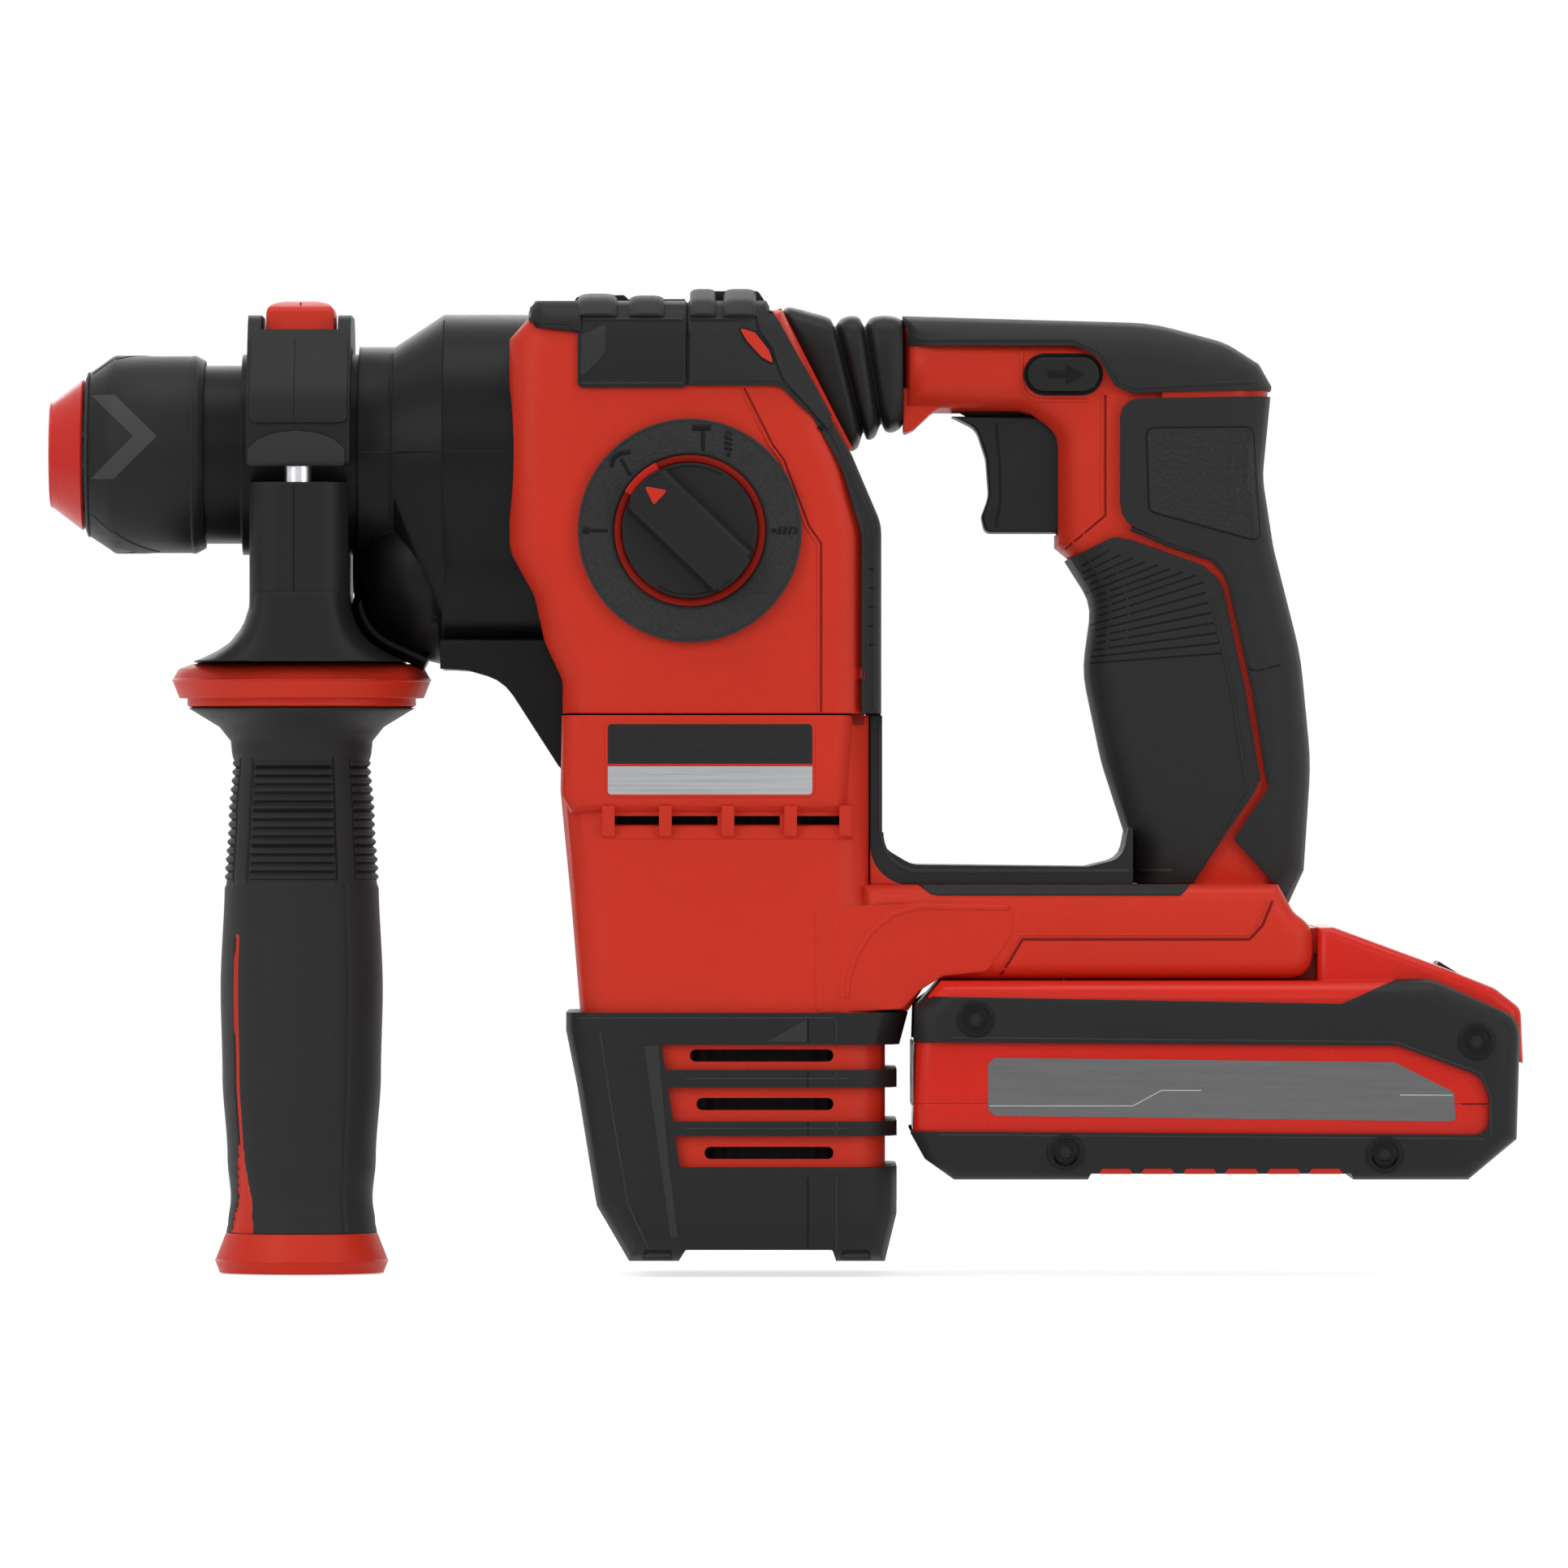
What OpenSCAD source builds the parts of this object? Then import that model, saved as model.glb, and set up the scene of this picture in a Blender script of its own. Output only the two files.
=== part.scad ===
// Cordless rotary hammer. The origin is on the spindle axis at the mouth of the tool holder,
// +X runs back along the spindle, +Y points to the side away from the mode dial, +Z is up.

/* [Tool holder] */
// Diameter of the bore for the drill shank
shank_d = 10; // [9:0.2:11]
// Depth of the shank bore
shank_depth = 52; // [48:0.5:54]
// Diameter of the spindle
spindle_d = 24; // [23.4:0.1:24.4]
// Outside diameter of the locking sleeve
sleeve_d = 42.2; // [41.4:0.1:43]
// Length of the locking sleeve
sleeve_len = 25.6; // [24.6:0.1:26.4]
// Travel of the locking sleeve
sleeve_travel = 7; // [5:0.25:7.5]
// Distance from the mouth of the tool holder to the side handle collar
chuck_len = 41.4; // [41:0.1:42.4]

/* [Gear case] */
// Diameter of the collar that carries the side handle
collar_d = 43; // [42:0.1:44]
// Width of the collar
collar_w = 25; // [24:0.1:25.4]
// Diameter of the neck behind the collar
neck_d = 46.2; // [45:0.1:48]
// Diameter of the barrel around the spindle
barrel_d = 60; // [58:0.2:60.4]
// Wall of the gear case
case_wall = 3; // [2:0.1:3.4]

/* [Drive] */
// Teeth of the spindle gear
spindle_teeth = 36; // [34:1:36]
// Teeth of the pinion on the countershaft
pinion_teeth = 12; // [11:1:12]
// Module of the spindle gear and its pinion
gear_module = 1; // [0.96:0.01:1]
// Mean radius of the crown of teeth on the face gear
face_r = 15; // [14.4:0.1:15.4]
// Teeth of the face gear
face_teeth = 24; // [22:1:26]
// Teeth of the motor pinion
motor_teeth = 7; // [6:1:8]
// Diameter of the countershaft
shaft_d = 8; // [7:0.2:8.4]
// Diameter of the hammer tube bore in which the piston runs
tube_bore = 19.1; // [18.4:0.1:19.5]

/* [Motor] */
// Diameter of the stator
stator_d = 42; // [38:0.5:43]
// Length of the stator
stator_len = 36; // [30:1:38]
// Diameter of the rotor core
rotor_d = 24; // [20:0.5:26]
// Diameter of the motor shaft
motor_shaft_d = 6; // [5:0.2:6.4]
// Diameter of the cooling fan
fan_d = 40; // [34:0.5:41]

/* [Housing] */
// Width of the gear shells
upper_w = 68; // [66:0.2:70]
// Width of the motor housing
lower_w = 63; // [62:0.2:65]
// Width of the raised belt with the name plate
belt_w = 69; // [67:0.2:71]
// Width of the foot that takes the battery
foot_w = 62; // [60:0.2:66]
// Width of the handle without its soft grips
handle_w = 32; // [30:0.2:34]
// Thickness of the soft grips and pads on the flanks
skin = 1; // [0.8:0.05:1.4]
// Wall of the plastic shells
wall = 2.8; // [2.2:0.1:3]
// Travel of the drive unit against its damper
damper_travel = 4; // [2:0.5:4]

/* [Controls] */
// Width of the trigger
trigger_w = 19; // [15:0.5:21]
// Travel of the trigger
trigger_travel = 6; // [4:0.5:6.5]
// Diameter of the mode knob
knob_d = 28.6; // [26:0.2:30]
// Height of the mode knob's grip bar above the shell
knob_h = 9; // [7:0.5:11]
// Outside diameter of the dial ring
dial_d = 47.4; // [45:0.2:48.4]
// Travel of the direction switch to each side
direction_travel = 3; // [2:0.25:3.5]

/* [Side handle] */
// Width of the clamp along the spindle
clamp_w = 22; // [20:0.2:22.2]
// Thickness of the clamp around the collar
clamp_wall = 8; // [7:0.2:9]
// Diameter of the clamp rods
rod_d = 6; // [5:0.1:6.4]
// Diameter of the guard flange
flange_d = 55.4; // [50:0.2:56]
// Diameter of the grip at its middle
grip_d = 34.8; // [32:0.2:36]
// Length of the grip below the flange
grip_len = 121.5; // [112:0.5:124]
// Travel of the depth stop button
button_travel = 2; // [1:0.1:2.2]

/* [Battery] */
// Width of the battery
battery_w = 76.4; // [74:0.2:80]
// Width of the rails that hold the battery
rail_w = 48; // [44:0.5:50]
// Width of the battery's neck between the rails
neck_w = 40; // [36:0.5:42]
// Diameter of a battery cell
cell_d = 18.2; // [17.8:0.05:18.4]
// Length of a battery cell
cell_len = 65; // [62:0.5:66]

/* [Fits] */
// Radial clearance of shafts, pins and seats
fit = 0.05; // [0.03:0.01:0.08]
// Gap between pieces that move past each other
gap = 0.4; // [0.3:0.05:0.5]

/* [Hidden] */
$fn = 48;
far = 400;
cut = 0.5;
crown = 0.05;

// Stations along the spindle
spindle_r = spindle_d / 2;
sleeve_x1 = chuck_len - sleeve_travel - 1;
sleeve_x0 = sleeve_x1 - sleeve_len;
cap_x1 = sleeve_x0 - gap;
nose_x0 = sleeve_x1 - 2.2;
collar_x1 = chuck_len + collar_w;
clamp_x = chuck_len + collar_w / 2;
neck_x1 = collar_x1 + 8.6;
barrel_x0 = 85;
case_x1 = 131.5;
room_x0 = barrel_x0 + 5.5;
seat_x = [barrel_x0 - 0.8, barrel_x0 + 5.2];
gear_x = [93, 101];
bracket_x = [103.5, 112.5];
tube_x1 = 114;
wobble_x = 124;
face_x = 134.5;
cover_x1 = 158;
bolt_x = [shank_depth + 1, shank_depth + 14];
piston_x = [84, 110];
striker_x = [84, 100.5];
striker_r = 7;
chamber_x1 = shank_depth + 18;

// Radii along the spindle
cap_r = 11.6;
cap_r1 = 16.2;
nose_r = sleeve_d / 2 - 2;
front_r = sleeve_d / 2 - 9.1;
ball_r = (front_r - shank_d / 2) / 2;
ball_x = sleeve_x0 + 10.2;
ring_r = sleeve_d / 2 - 6.1;
barrel_r = barrel_d / 2;

// Gears and shafts
spindle_gear_r = gear_module * spindle_teeth / 2;
pinion_r = gear_module * pinion_teeth / 2;
shaft_z = -spindle_gear_r - pinion_r;
shaft_r = shaft_d / 2;
lobe_r = face_r + 7.3;
lobe_x0 = clamp_x + clamp_w / 2 + 0.1;
face_pitch = 360 / face_teeth;
motor_pinion_r = face_r * motor_teeth / face_teeth;
tooth_add = 0.75;
tooth_ded = 1.1;
face_plate = 3.5;
face_half = 1.4;
pitch_x = face_x + face_plate + tooth_ded;
motor_x = pitch_x + motor_pinion_r;
motor_r = motor_shaft_d / 2;
finger_r = 2.4;
pin_r = 4.4;
hub_r = 9;
fork_gap = 4.2;
fork_y = 7.6;

// Heights of the motor
motor_bearing_r = 9.5;
motor_bearing_h = 6;
seat_z = -62;
fan_z = [-84, -74];
stator_z = -90;
can_z = stator_z - stator_len - 14;
can_wall = 2;
fan_gap = 1;
can_r = max(stator_d / 2, fan_d / 2 + fan_gap) + can_wall;
flange_z = -60;
board_x = [135, 164];
board_y = 20;
board_z = -158;

// Seams and widths of the housing
seam_z = -56;
upper_y = upper_w / 2;
lower_y = lower_w / 2;
belt_y = belt_w / 2;
foot_y = foot_w / 2;
handle_y = handle_w / 2;
guard_skin = 2;
guard_z = -119.2;
gusset_y = 20;
damper_r = 3.5;
damper_z = 15;
spring_x = [171.4, 182.5];
trigger_back = 224;
plunger_z = -4;
plunger_x0 = trigger_back - 8;
switch_x1 = 252.5;
switch_y = 10;
switch_z = [-14, 10.8];
grip_skin = 2;
upper_edge = 7;
lower_edge = 8;
belt_edge = 4;
handle_edge = 9;
handle_inset = 6;
foot_edge = 4;
battery_edge = 4;
seat = 0.02;
upper_z = seam_z + 0.4;
bellows_y = 15;
direction_x = [212.9, 220.9];
direction_z = 16.8;
direction_r = 3.6;
dial_x = 137.3;
dial_z = -16.8;
dial_r = dial_d / 2;
knob_r = knob_d / 2;
dial_gap = 2;
ring_h = 2;
knob_shaft_r = 5;

// Side handle
clamp_r = collar_d / 2 + fit;
clamp_y = clamp_r + 9.5;
rod_y = clamp_r + 4;
clamp_top = clamp_r + clamp_wall;
clamp_gap_z = [-6.4, -2.6];
flange_z0 = shaft_z - 20.5;
flange_r = flange_d / 2;
grip_r = grip_d / 2;
grip_top = flange_z0 - 9.3;
grip_end = grip_top - grip_len;
rubber_end = grip_end + 8.5;
core_r = grip_r - 3.5;
stud_r = 4;
yoke_z = [flange_z0 + 2.5, flange_z0 + 9.5];
post_z = flange_z0 + 13.5;
clamp_travel = 2.5;
button_w = 15.6;
button_y = 12;
button_z = clamp_r + 2.4 + button_travel + gap;

// Battery and foot
foot_z = -112;
channel_x0 = 203;
channel_z = -100.8;
lip_z = -107;
battery_z = foot_z - gap;
battery_y = battery_w / 2;
bumper = 1.4;
battery_case_y = battery_y - bumper;
battery_seam = -138.4;
cell_x0 = 203;
cell_pitch = cell_d + 0.15;
row_h = cell_pitch * sin(60);
cells_z = -133.9;
cells_h = row_h / 2 + cell_d / 2 + 0.1;
block_x0 = 217;

// Outlines in the side view, as corners [x, z, radius]
upper_core = [[110.2, -75, 0], [175.5, -75, 0], [175.4, -16, 9], [170.5, 0.2, 0], [156.8, 30.2, 0],
    [104.5, 30.2, 0], [98.9, 24, 0], [98.9, -21, 9], [104.2, -30.5, 8], [106.4, -40.5, 10],
    [110.2, -48.5, 5]];
upper_skin = [[110.2, -75, 0], [178, -75, 0], [178, -15.3, 10], [171.6, -0.3, 0], [153.5, 32.2, 0],
    [104.4, 32.2, 0], [97, 20, 0]];
upper_room = [[113, -80, 0], [172.6, -80, 0], [172.6, -15, 0], [167.6, 0, 0], [156.4, 24, 0], [103, 24, 0],
    [103, -21, 0], [108, -32, 0], [110, -42, 0], [113, -50, 0]];
pad_region = [[137, 60, 0], [137, 14, 0.5], [156.3, 14, 4], [163.5, 7.3, 6], [169.6, -3.6, 8],
    [173.8, -17.6, 9], [173.8, upper_z, 0], [200, upper_z, 0], [200, -12, 0], [171.4, -0.1, 0],
    [154.2, 30.4, 0], [152, 60, 0]];
cover_region = [[103, 60, 0], [103, 28, 0], [105.2, 26.4, 1], [113.5, 25.5, 0.5], [113.5, 13.6, 1],
    [136.5, 13.6, 0.5], [136.5, 60, 0]];
ridges = [[[112.6, 32, 0], [136.2, 32, 0], [136.2, 32.7, 0], [124.1, 32.7, 0], [123.2, 33.6, 0.8],
    [113.1, 33.2, 0.8]],
    [[137.4, 32, 0], [153.4, 32, 0], [151.8, 34.4, 1], [138, 34.4, 1]]];
gusset = [[lobe_x0 + 19, -40, 0], [lobe_x0 + 19, -46, 0], [lobe_x0 + 25, -46.4, 6], [97.5, -48.6, 10],
    [110.4, -68.6, 4], [115.5, -68.6, 0], [115.5, -40, 0]];
motor_core = [[175.6, -40, 0], [110.2, -40, 0], [109.7, -72, 12], [112.1, -97, 0], [113.9, -119, 0],
    [116, -134, 20], [119.6, -160, 0], [127, -167.6, 0], [176.5, -167.6, 0], [178.8, -158, 0],
    [178.8, -100, 0], [175.6, -94, 4]];
motor_room = [[172.6, -40, 0], [113.2, -40, 0], [113.2, -72, 0], [115.4, -96, 0], [117.4, -119, 0],
    [118.6, -134, 0], [122.6, -164.6, 2], [173, -164.6, 2], [173, -98, 0], [172.6, -92, 0]];
belt = [[172.8, -40, 0], [110.2, -40, 0], [109.9, -73, 0], [112, -76.8, 0], [170.6, -76.8, 0]];
foot_outline = [[262.4, -92, 0], [174, -92, 0], [174, -118.8, 0], [183.7, -118.8, 0], [187.6, -113, 3],
    [190.5, foot_z, 1], [269.9, foot_z, 5], [269.7, -101, 5], [265.6, -97.8, 4]];
handle_skin = [[182.7, 29.5, 0], [182.7, 9, 0], [208.5, 8.9, 5], [215.3, 4, 5], [215.3, -18, 0],
    [217.2, -22.4, 2], [223.3, -32, 10], [221.3, -46.5, 24], [225.4, -66, 40], [231.2, -84, 0],
    [231.2, -97.5, 0], [264.6, -97.5, 0], [268.5, -89, 0], [270, -66, 60], [267.8, -43, 60], [262, -20, 30],
    [259.7, -5, 20],
    [261.6, 14.4, 0], [258.9, 19.2, 0], [251.8, 23.8, 16], [236, 28, 40], [196, 29.1, 40]];
handle_core = [[182.7, 27.4, 0], [182.7, 9, 0], [208.5, 8.9, 5], [215.3, 4, 5], [215.3, -20, 0],
    [218.4, -22.6, 2], [225.3, -33, 9], [223.3, -46.5, 24], [227.4, -66, 40], [233.2, -85, 0],
    [233.2, -97.5, 0], [262.6, -97.5, 0], [266.5, -89, 0], [268, -66, 60], [265.8, -43, 60], [260, -20, 30],
    [257.7, -5, 20],
    [259.5, 13.8, 0], [257, 18, 0], [250.8, 21.8, 16], [235.6, 26, 40], [196, 27.1, 40]];
handle_tip = [[182.8, 14, 0], [182.8, 4.2, 0.5], [185, 5.2, 1], [188.6, 8.6, 2], [194, 12, 0]];
handle_room = [[231.5, 11, 1], [231.5, -16, 1], [230.5, -46, 4], [238, -84, 2], [258, -84, 2],
    [259.5, -66, 4], [253, -20, 4], [253, 11, 1]];
lining = [[178.2, seam_z, 0], [175.64, seam_z, 0], [175.64, -91.96, 0], [231.6, -91.96, 0], [231.6, -80, 0],
    [230.6, -80, 0], [229.4, -86.4, 4], [222, -88.2, 4], [184.6, -87.8, 5], [178.2, -84, 4]];
top_region = [[180, 60, 0], [180, 22.9, 0], [219.8, 22.9, 5], [224.4, 20.4, 4], [228, 14.2, 3],
    [231.4, 12.8, 2], [290, 14.2, 0], [290, 60, 0]];
rear_region = [[229, 11.6, 4], [229, -14.5, 6], [239.5, -19.3, 6], [249.5, -22.6, 6], [252.6, -28, 4],
    [257.8, -50.8, 30], [261, -71, 4], [253.2, -82.4, 1], [262, -92, 0], [262, -98, 0], [290, -98, 0],
    [290, 12.7, 0]];
front_region = [[205, -27.5, 0], [216, -23.6, 0], [228, -17.6, 4], [238.6, -21.4, 6], [247.4, -24.6, 6],
    [250.4, -28.6, 4], [255.4, -51.2, 30], [258.6, -71, 4], [250.8, -82.4, 1], [244.6, -91.8, 0],
    [205, -91.8, 0]];
guard_outline = [[184, -100, 0], [110.9, -100, 0], [110.9, -123, 0], [113.3, -135, 20], [117.4, -160.4, 0],
    [124.3, -172.2, 0], [178.8, -172.2, 0], [181.3, -162, 0], [181.3, -128, 6], [184, -118, 0]];
guard_window = [[131.3, -126, 0.5], [135.2, -152, 0.5], [200, -152, 0], [200, -126, 0]];
guard_bars = [[-135.1, -131.3], [-145.4, -142.3]];
guard_arch = [[134.4, -173, 0], [168.6, -173, 0], [167.6, -169.7, 0.5], [136.4, -169.7, 0.5]];
cooling_slots = [[137.3, -128.3], [138.7, -138.6], [140.4, -149]];
trigger_room = [[205, -17.4, 1], [trigger_back + trigger_travel + 2, -17.4, 1],
    [trigger_back + trigger_travel + 2, 8.5, 1], [205, 8.5, 1]];
trigger_outline = [[193.2, 8, 0], [198.4, 5.4, 4], [200.5, -1, 8], [201.1, -9, 6], [199.5, -13.4, 2],
    [200.3, -16.9, 1.5], [trigger_back, -16.9, 0], [trigger_back, 8, 0]];
bellows_outline = [[157.6, 30, 0], [171.4, 0.8, 0], [174.4, 2.2, 1.2], [175, 4.2, 0.6], [176.8, 3, 1.2],
    [178.6, 6.8, 0.6], [180.2, 5.4, 1.2], [182.3, 6.6, 0], [182.3, 29.4, 0], [175.9, 29.4, 1.2],
    [174.6, 27.6, 0.6], [173.3, 29.6, 1.2], [169.4, 29, 1.2], [168.1, 27.6, 0.6], [166.8, 29.2, 1.2],
    [159, 31.6, 1.2]];
bellows_room = [[150, 25, 0], [150, 8.6, 0], [190, 8.6, 0], [190, 25, 0]];
battery_outline = [[294, battery_z, 6], [190.6, battery_z, 0], [185.6, -118.2, 0], [184.8, -144.4, 0],
    [188.4, -149.4, 0], [194, -153.2, 0], [302, -153.2, 0], [311.6, -145.4, 0], [312.4, -121, 6]];
hump = [[270.7, -118, 0], [314.5, -130, 0], [314, -118.4, 3], [308.4, -114, 6], [297.5, -109.6, 10],
    [274.2, -101, 0], [270.7, -101, 0]];
bumper_outline = [[294.8, -112, 8], [192.4, -112.4, 0], [185, -117.6, 0], [184.2, -144.8, 0],
    [187.2, -150.2, 0], [193.4, -154.6, 0], [302.6, -154.6, 0], [312.9, -146, 0], [313.7, -120, 6]];
bumper_window = [[160, -125.2, 0], [287.6, -126.1, 3], [305, -132.6, 4], [306.8, -137, 3],
    [306.8, -145, 3], [160, -144.2, 0]];
bumper_top_cut = [[160, -115.2, 0], [275.7, -117.2, 2], [285.5, -112.8, 2], [291.8, -110.6, 2],
    [314, -120.6, 0], [400, -120.6, 0], [400, -80, 0], [160, -80, 0]];
bumper_foot_cut = [[219.6, -160, 0], [222.4, -153.3, 0.5], [277.7, -153.3, 0.5], [280.4, -160, 0]];
battery_inside = [[190, cells_z + cells_h, 2], [190, -143, 2], [196, cells_z - cells_h, 2],
    [300, cells_z - cells_h, 2], [309, -143, 2], [309, -122, 2], [300, cells_z + cells_h, 2]];

// Screws that close the shells
upper_screw_at = [[166, -46], [164.5, -7], [147, 21]];
housing_screw_at = [[240, 20, handle_y], [244, -36, handle_y], [250, -74, handle_y], [189, -104, foot_y],
    [130, -157.5, lower_y], [169, -158.5, lower_y]];
screw_r = 2;
head_r = 3.7;
boss_r = 4.5;

red = [0.78, 0.17, 0.12];
black = [0.13, 0.13, 0.14];
charcoal = [0.17, 0.17, 0.18];
steel = [0.72, 0.73, 0.75];
dark_steel = [0.4, 0.41, 0.43];
copper = [0.72, 0.45, 0.2];
green = [0.1, 0.35, 0.2];

// Points and directions
function unit(v) = v / norm(v);
function flat(c) = [c.x, c.y];
function turn(a, b) = a.x * b.y - a.y * b.x;

// Arc that rounds corner q between p and s
function corner(p, q, s, r, n) =
    let (u = unit(p - q), v = unit(s - q), half = acos(max(-1, min(1, u * v))) / 2)
    r == 0 || half > 89.5 ? [q] :
    let (reach = min(r / tan(half), 0.48 * norm(p - q), 0.48 * norm(s - q)),
        c = q + unit(u + v) * reach / cos(half),
        a = q + u * reach - c,
        sweep = (turn(v, u) > 0 ? 1 : -1) * (180 - 2 * half),
        start = atan2(a.y, a.x))
    [for (i = [0:n]) c + norm(a) * [cos(start + sweep * i / n), sin(start + sweep * i / n)]];

// Outline with every corner rounded by its own radius
function rounded(list, n = 3) =
    let (m = len(list))
    [for (i = [0:m - 1])
        each corner(flat(list[(i + m - 1) % m]), flat(list[i]), flat(list[(i + 1) % m]), list[i][2], n)];

// Outline moved inwards by d
function inset(p, d) =
    let (n = len(p))
    [for (i = [0:n - 1])
        let (u = unit(p[i] - p[(i + n - 1) % n]), v = unit(p[(i + 1) % n] - p[i]),
            m = unit([-u.y - v.y, u.x + v.x]))
        p[i] + m * d / max(0.6, m * [-u.y, u.x])];

// Rings [y, inset] of a body that is round at its two flanks
function flank(w, r, e, steps = 3) =
    [for (j = [0:steps]) [w - r + r * sin(90 * j / steps), e - e * cos(90 * j / steps)]];
function rings(w, r, e, end) =
    let (f = flank(w, r, e), m = len(f))
    concat([for (j = [m - 1:-1:0]) [-f[j].x, f[j].y]], end == 0 ? f : [[end, 0]]);

// Triangles that fill outline p, cut off corner by corner, the slim ones last.
// k lists the corners that are still there
function covers(a, b, c, q) =
    turn(b - a, q - a) >= 0 && turn(c - b, q - b) >= 0 && turn(a - c, q - c) >= 0;
function is_ear(p, k, i, slim) =
    let (m = len(k), a = p[k[(i + m - 1) % m]], b = p[k[i % m]], c = p[k[(i + 1) % m]])
    turn(b - a, c - b) > max(0.0001, slim * (c - a) * (c - a)) &&
    len([for (j = [2:m - 2]) if (covers(a, b, c, p[k[(i + j) % m]])) j]) == 0;
function first_ear(p, k, i, slim) =
    is_ear(p, k, i, slim) ? i :
    i < len(k) ? first_ear(p, k, i + 1, slim) :
    slim > 0.001 ? first_ear(p, k, 1, slim / 3) : i;
function fill(p, k) =
    let (m = len(k), i = first_ear(p, k, 1, 0.5))
    m < 4 ? [k] :
    concat([[k[(i + m - 1) % m], k[i % m], k[(i + 1) % m]]], fill(p, [for (j = [1:m - 1]) k[(i + j) % m]]));

// Outline in the side view swept across the tool, with flanks rounded by r across and e inwards.
// It ends flat at y = end, or goes right through when end is 0
module pillow(list, w, r, e, end = 0, grow = 0) {
    p = rounded(list);
    k = rings(w + crown, r, e, end);
    n = len(p);
    m = len(k);
    outlines = [for (ring = k) inset(p, ring.y - grow)];
    points = [for (a = [0:m - 1]) each [for (q = outlines[a]) [q.x, k[a].x, q.y]]];
    near = [for (f = fill(outlines[0], [for (i = [0:n - 1]) i])) [f[2], f[1], f[0]]];
    distant = [for (f = fill(outlines[m - 1], [for (i = [0:n - 1]) i])) [for (i = f) (m - 1) * n + i]];
    sides = [for (a = [0:m - 2], i = [0:n - 1])
        let (b = a * n + i, c = a * n + (i + 1) % n)
        each [[b, c, c + n], [b, c + n, b + n]]];
    intersection() {
        polyhedron(points, concat(near, sides, distant));
        block([-far, -w, -far], [far, end == 0 ? w : far, far]);
    }
}

// Outline in the side view as a plain slab from y0 to y1
module slab(list, y0, y1) {
    rotate([90, 0, 0])
        translate([0, 0, -y1])
            linear_extrude(y1 - y0)
                polygon(rounded(list));
}

module x_rod(r, x0, x1, y = 0, z = 0) {
    translate([x0, y, z])
        rotate([0, 90, 0])
            cylinder(r = r, h = x1 - x0);
}

module x_ring(ro, ri, x0, x1, z = 0) {
    difference() {
        x_rod(ro, x0, x1, 0, z);
        x_rod(ri, x0 - cut, x1 + cut, 0, z);
    }
}

module y_rod(r, y0, y1, x, z) {
    translate([x, y1, z])
        rotate([90, 0, 0])
            cylinder(r = r, h = y1 - y0);
}

module z_rod(r, z0, z1, x, y = 0) {
    translate([x, y, z0])
        cylinder(r = r, h = z1 - z0);
}

module block(a, b) {
    translate(a)
        cube(b - a);
}

// Profile [x, radius] turned about the spindle axis
module turned_x(profile) {
    rotate([0, 90, 0])
        rotate_extrude()
            polygon([for (p = profile) [p.y, p.x]]);
}

// Profile [radius, z] turned about an upright axis at x
module turned_z(profile, x) {
    translate([x, 0, 0])
        rotate_extrude()
            polygon(profile);
}

// Coil spring along X with wire radius w
module coil_x(r, w, x0, x1, turns, z = 0) {
    sides = 6;
    n = turns * 10;
    lead = (x1 - x0 - 2 * w) / n;
    points = [for (i = [0:n], j = [0:sides - 1])
        let (t = i * 36, s = j * 360 / sides, q = r + w * cos(s))
        [x0 + w + lead * i + w * sin(s), q * cos(t), z + q * sin(t)]];
    faces = [for (i = [0:n - 1], j = [0:sides - 1])
        let (b = i * sides + j, c = i * sides + (j + 1) % sides)
        each [[b, c, c + sides], [b, c + sides, b + sides]]];
    polyhedron(points, concat([[for (j = [sides - 1:-1:0]) j]], faces,
        [[for (j = [0:sides - 1]) n * sides + j]]));
}

// Flat gear outline with straight-sided teeth
module gear_outline(r, teeth, add, ded, tip, root) {
    step = 360 / teeth;
    polygon([for (i = [0:teeth - 1])
        each [for (t = [[r - ded, -root], [r + add, -tip], [r + add, tip], [r - ded, root]])
            let (a = i * step + t.y * step)
            t.x * [cos(a), sin(a)]]]);
}

module x_gear(r, teeth, mod, x0, x1, z, phase) {
    translate([x0, 0, z])
        rotate([0, 90, 0])
            rotate(phase)
                linear_extrude(x1 - x0)
                    gear_outline(r, teeth, 0.8 * mod, 1.1 * mod, 0.12, 0.28);
}

// Form of the gear case, around the spindle and the countershaft
module egg(d, x0, x1) {
    side = 0.4;
    union() {
        x_rod(barrel_r + d, x0, x1, $fn = 96);
        x_rod(lobe_r + d, x0, x1, 0, shaft_z, $fn = 96);
        translate([x0, 0, 0])
            rotate([0, 90, 0])
                linear_extrude(x1 - x0)
                    polygon([[0, barrel_r + d - side], [-shaft_z, lobe_r + d - side],
                        [-shaft_z, side - lobe_r - d], [0, side - barrel_r - d]]);
    }
}

// Spindle with the shank bore, the bolt chamber and the hammer tube
module spindle() {
    color(steel)
        difference() {
            union() {
                x_rod(7.4, 0, cap_x1 + 2);
                x_rod(front_r, cap_x1 + 1, nose_x0 + 8);
                x_rod(spindle_r, nose_x0 + 7, tube_x1);
                x_rod(ring_r - 0.4, nose_x0 - 1.6, nose_x0 - 0.4);
            }
            x_rod(shank_d / 2, -cut, shank_depth + cut);
            x_rod(shank_d / 2 + 2, shank_depth, chamber_x1);
            x_rod(shank_d / 2 - 0.2, chamber_x1 - cut, chamber_x1 + 3);
            x_rod(tube_bore / 2, chamber_x1 + 2, tube_x1 + cut);
            y_rod(ball_r + fit, -far / 4, far / 4, ball_x, 0);
        }
}

module dust_cap() {
    color(red)
        turned_x([[0, 7.4 + fit], [0, cap_r - 1.2], [0.3, cap_r - 0.4], [1, cap_r], [cap_x1 - 0.4, cap_r1],
            [cap_x1, cap_r1 - 0.3],
            [cap_x1, 7.4 + fit]]);
}

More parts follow.
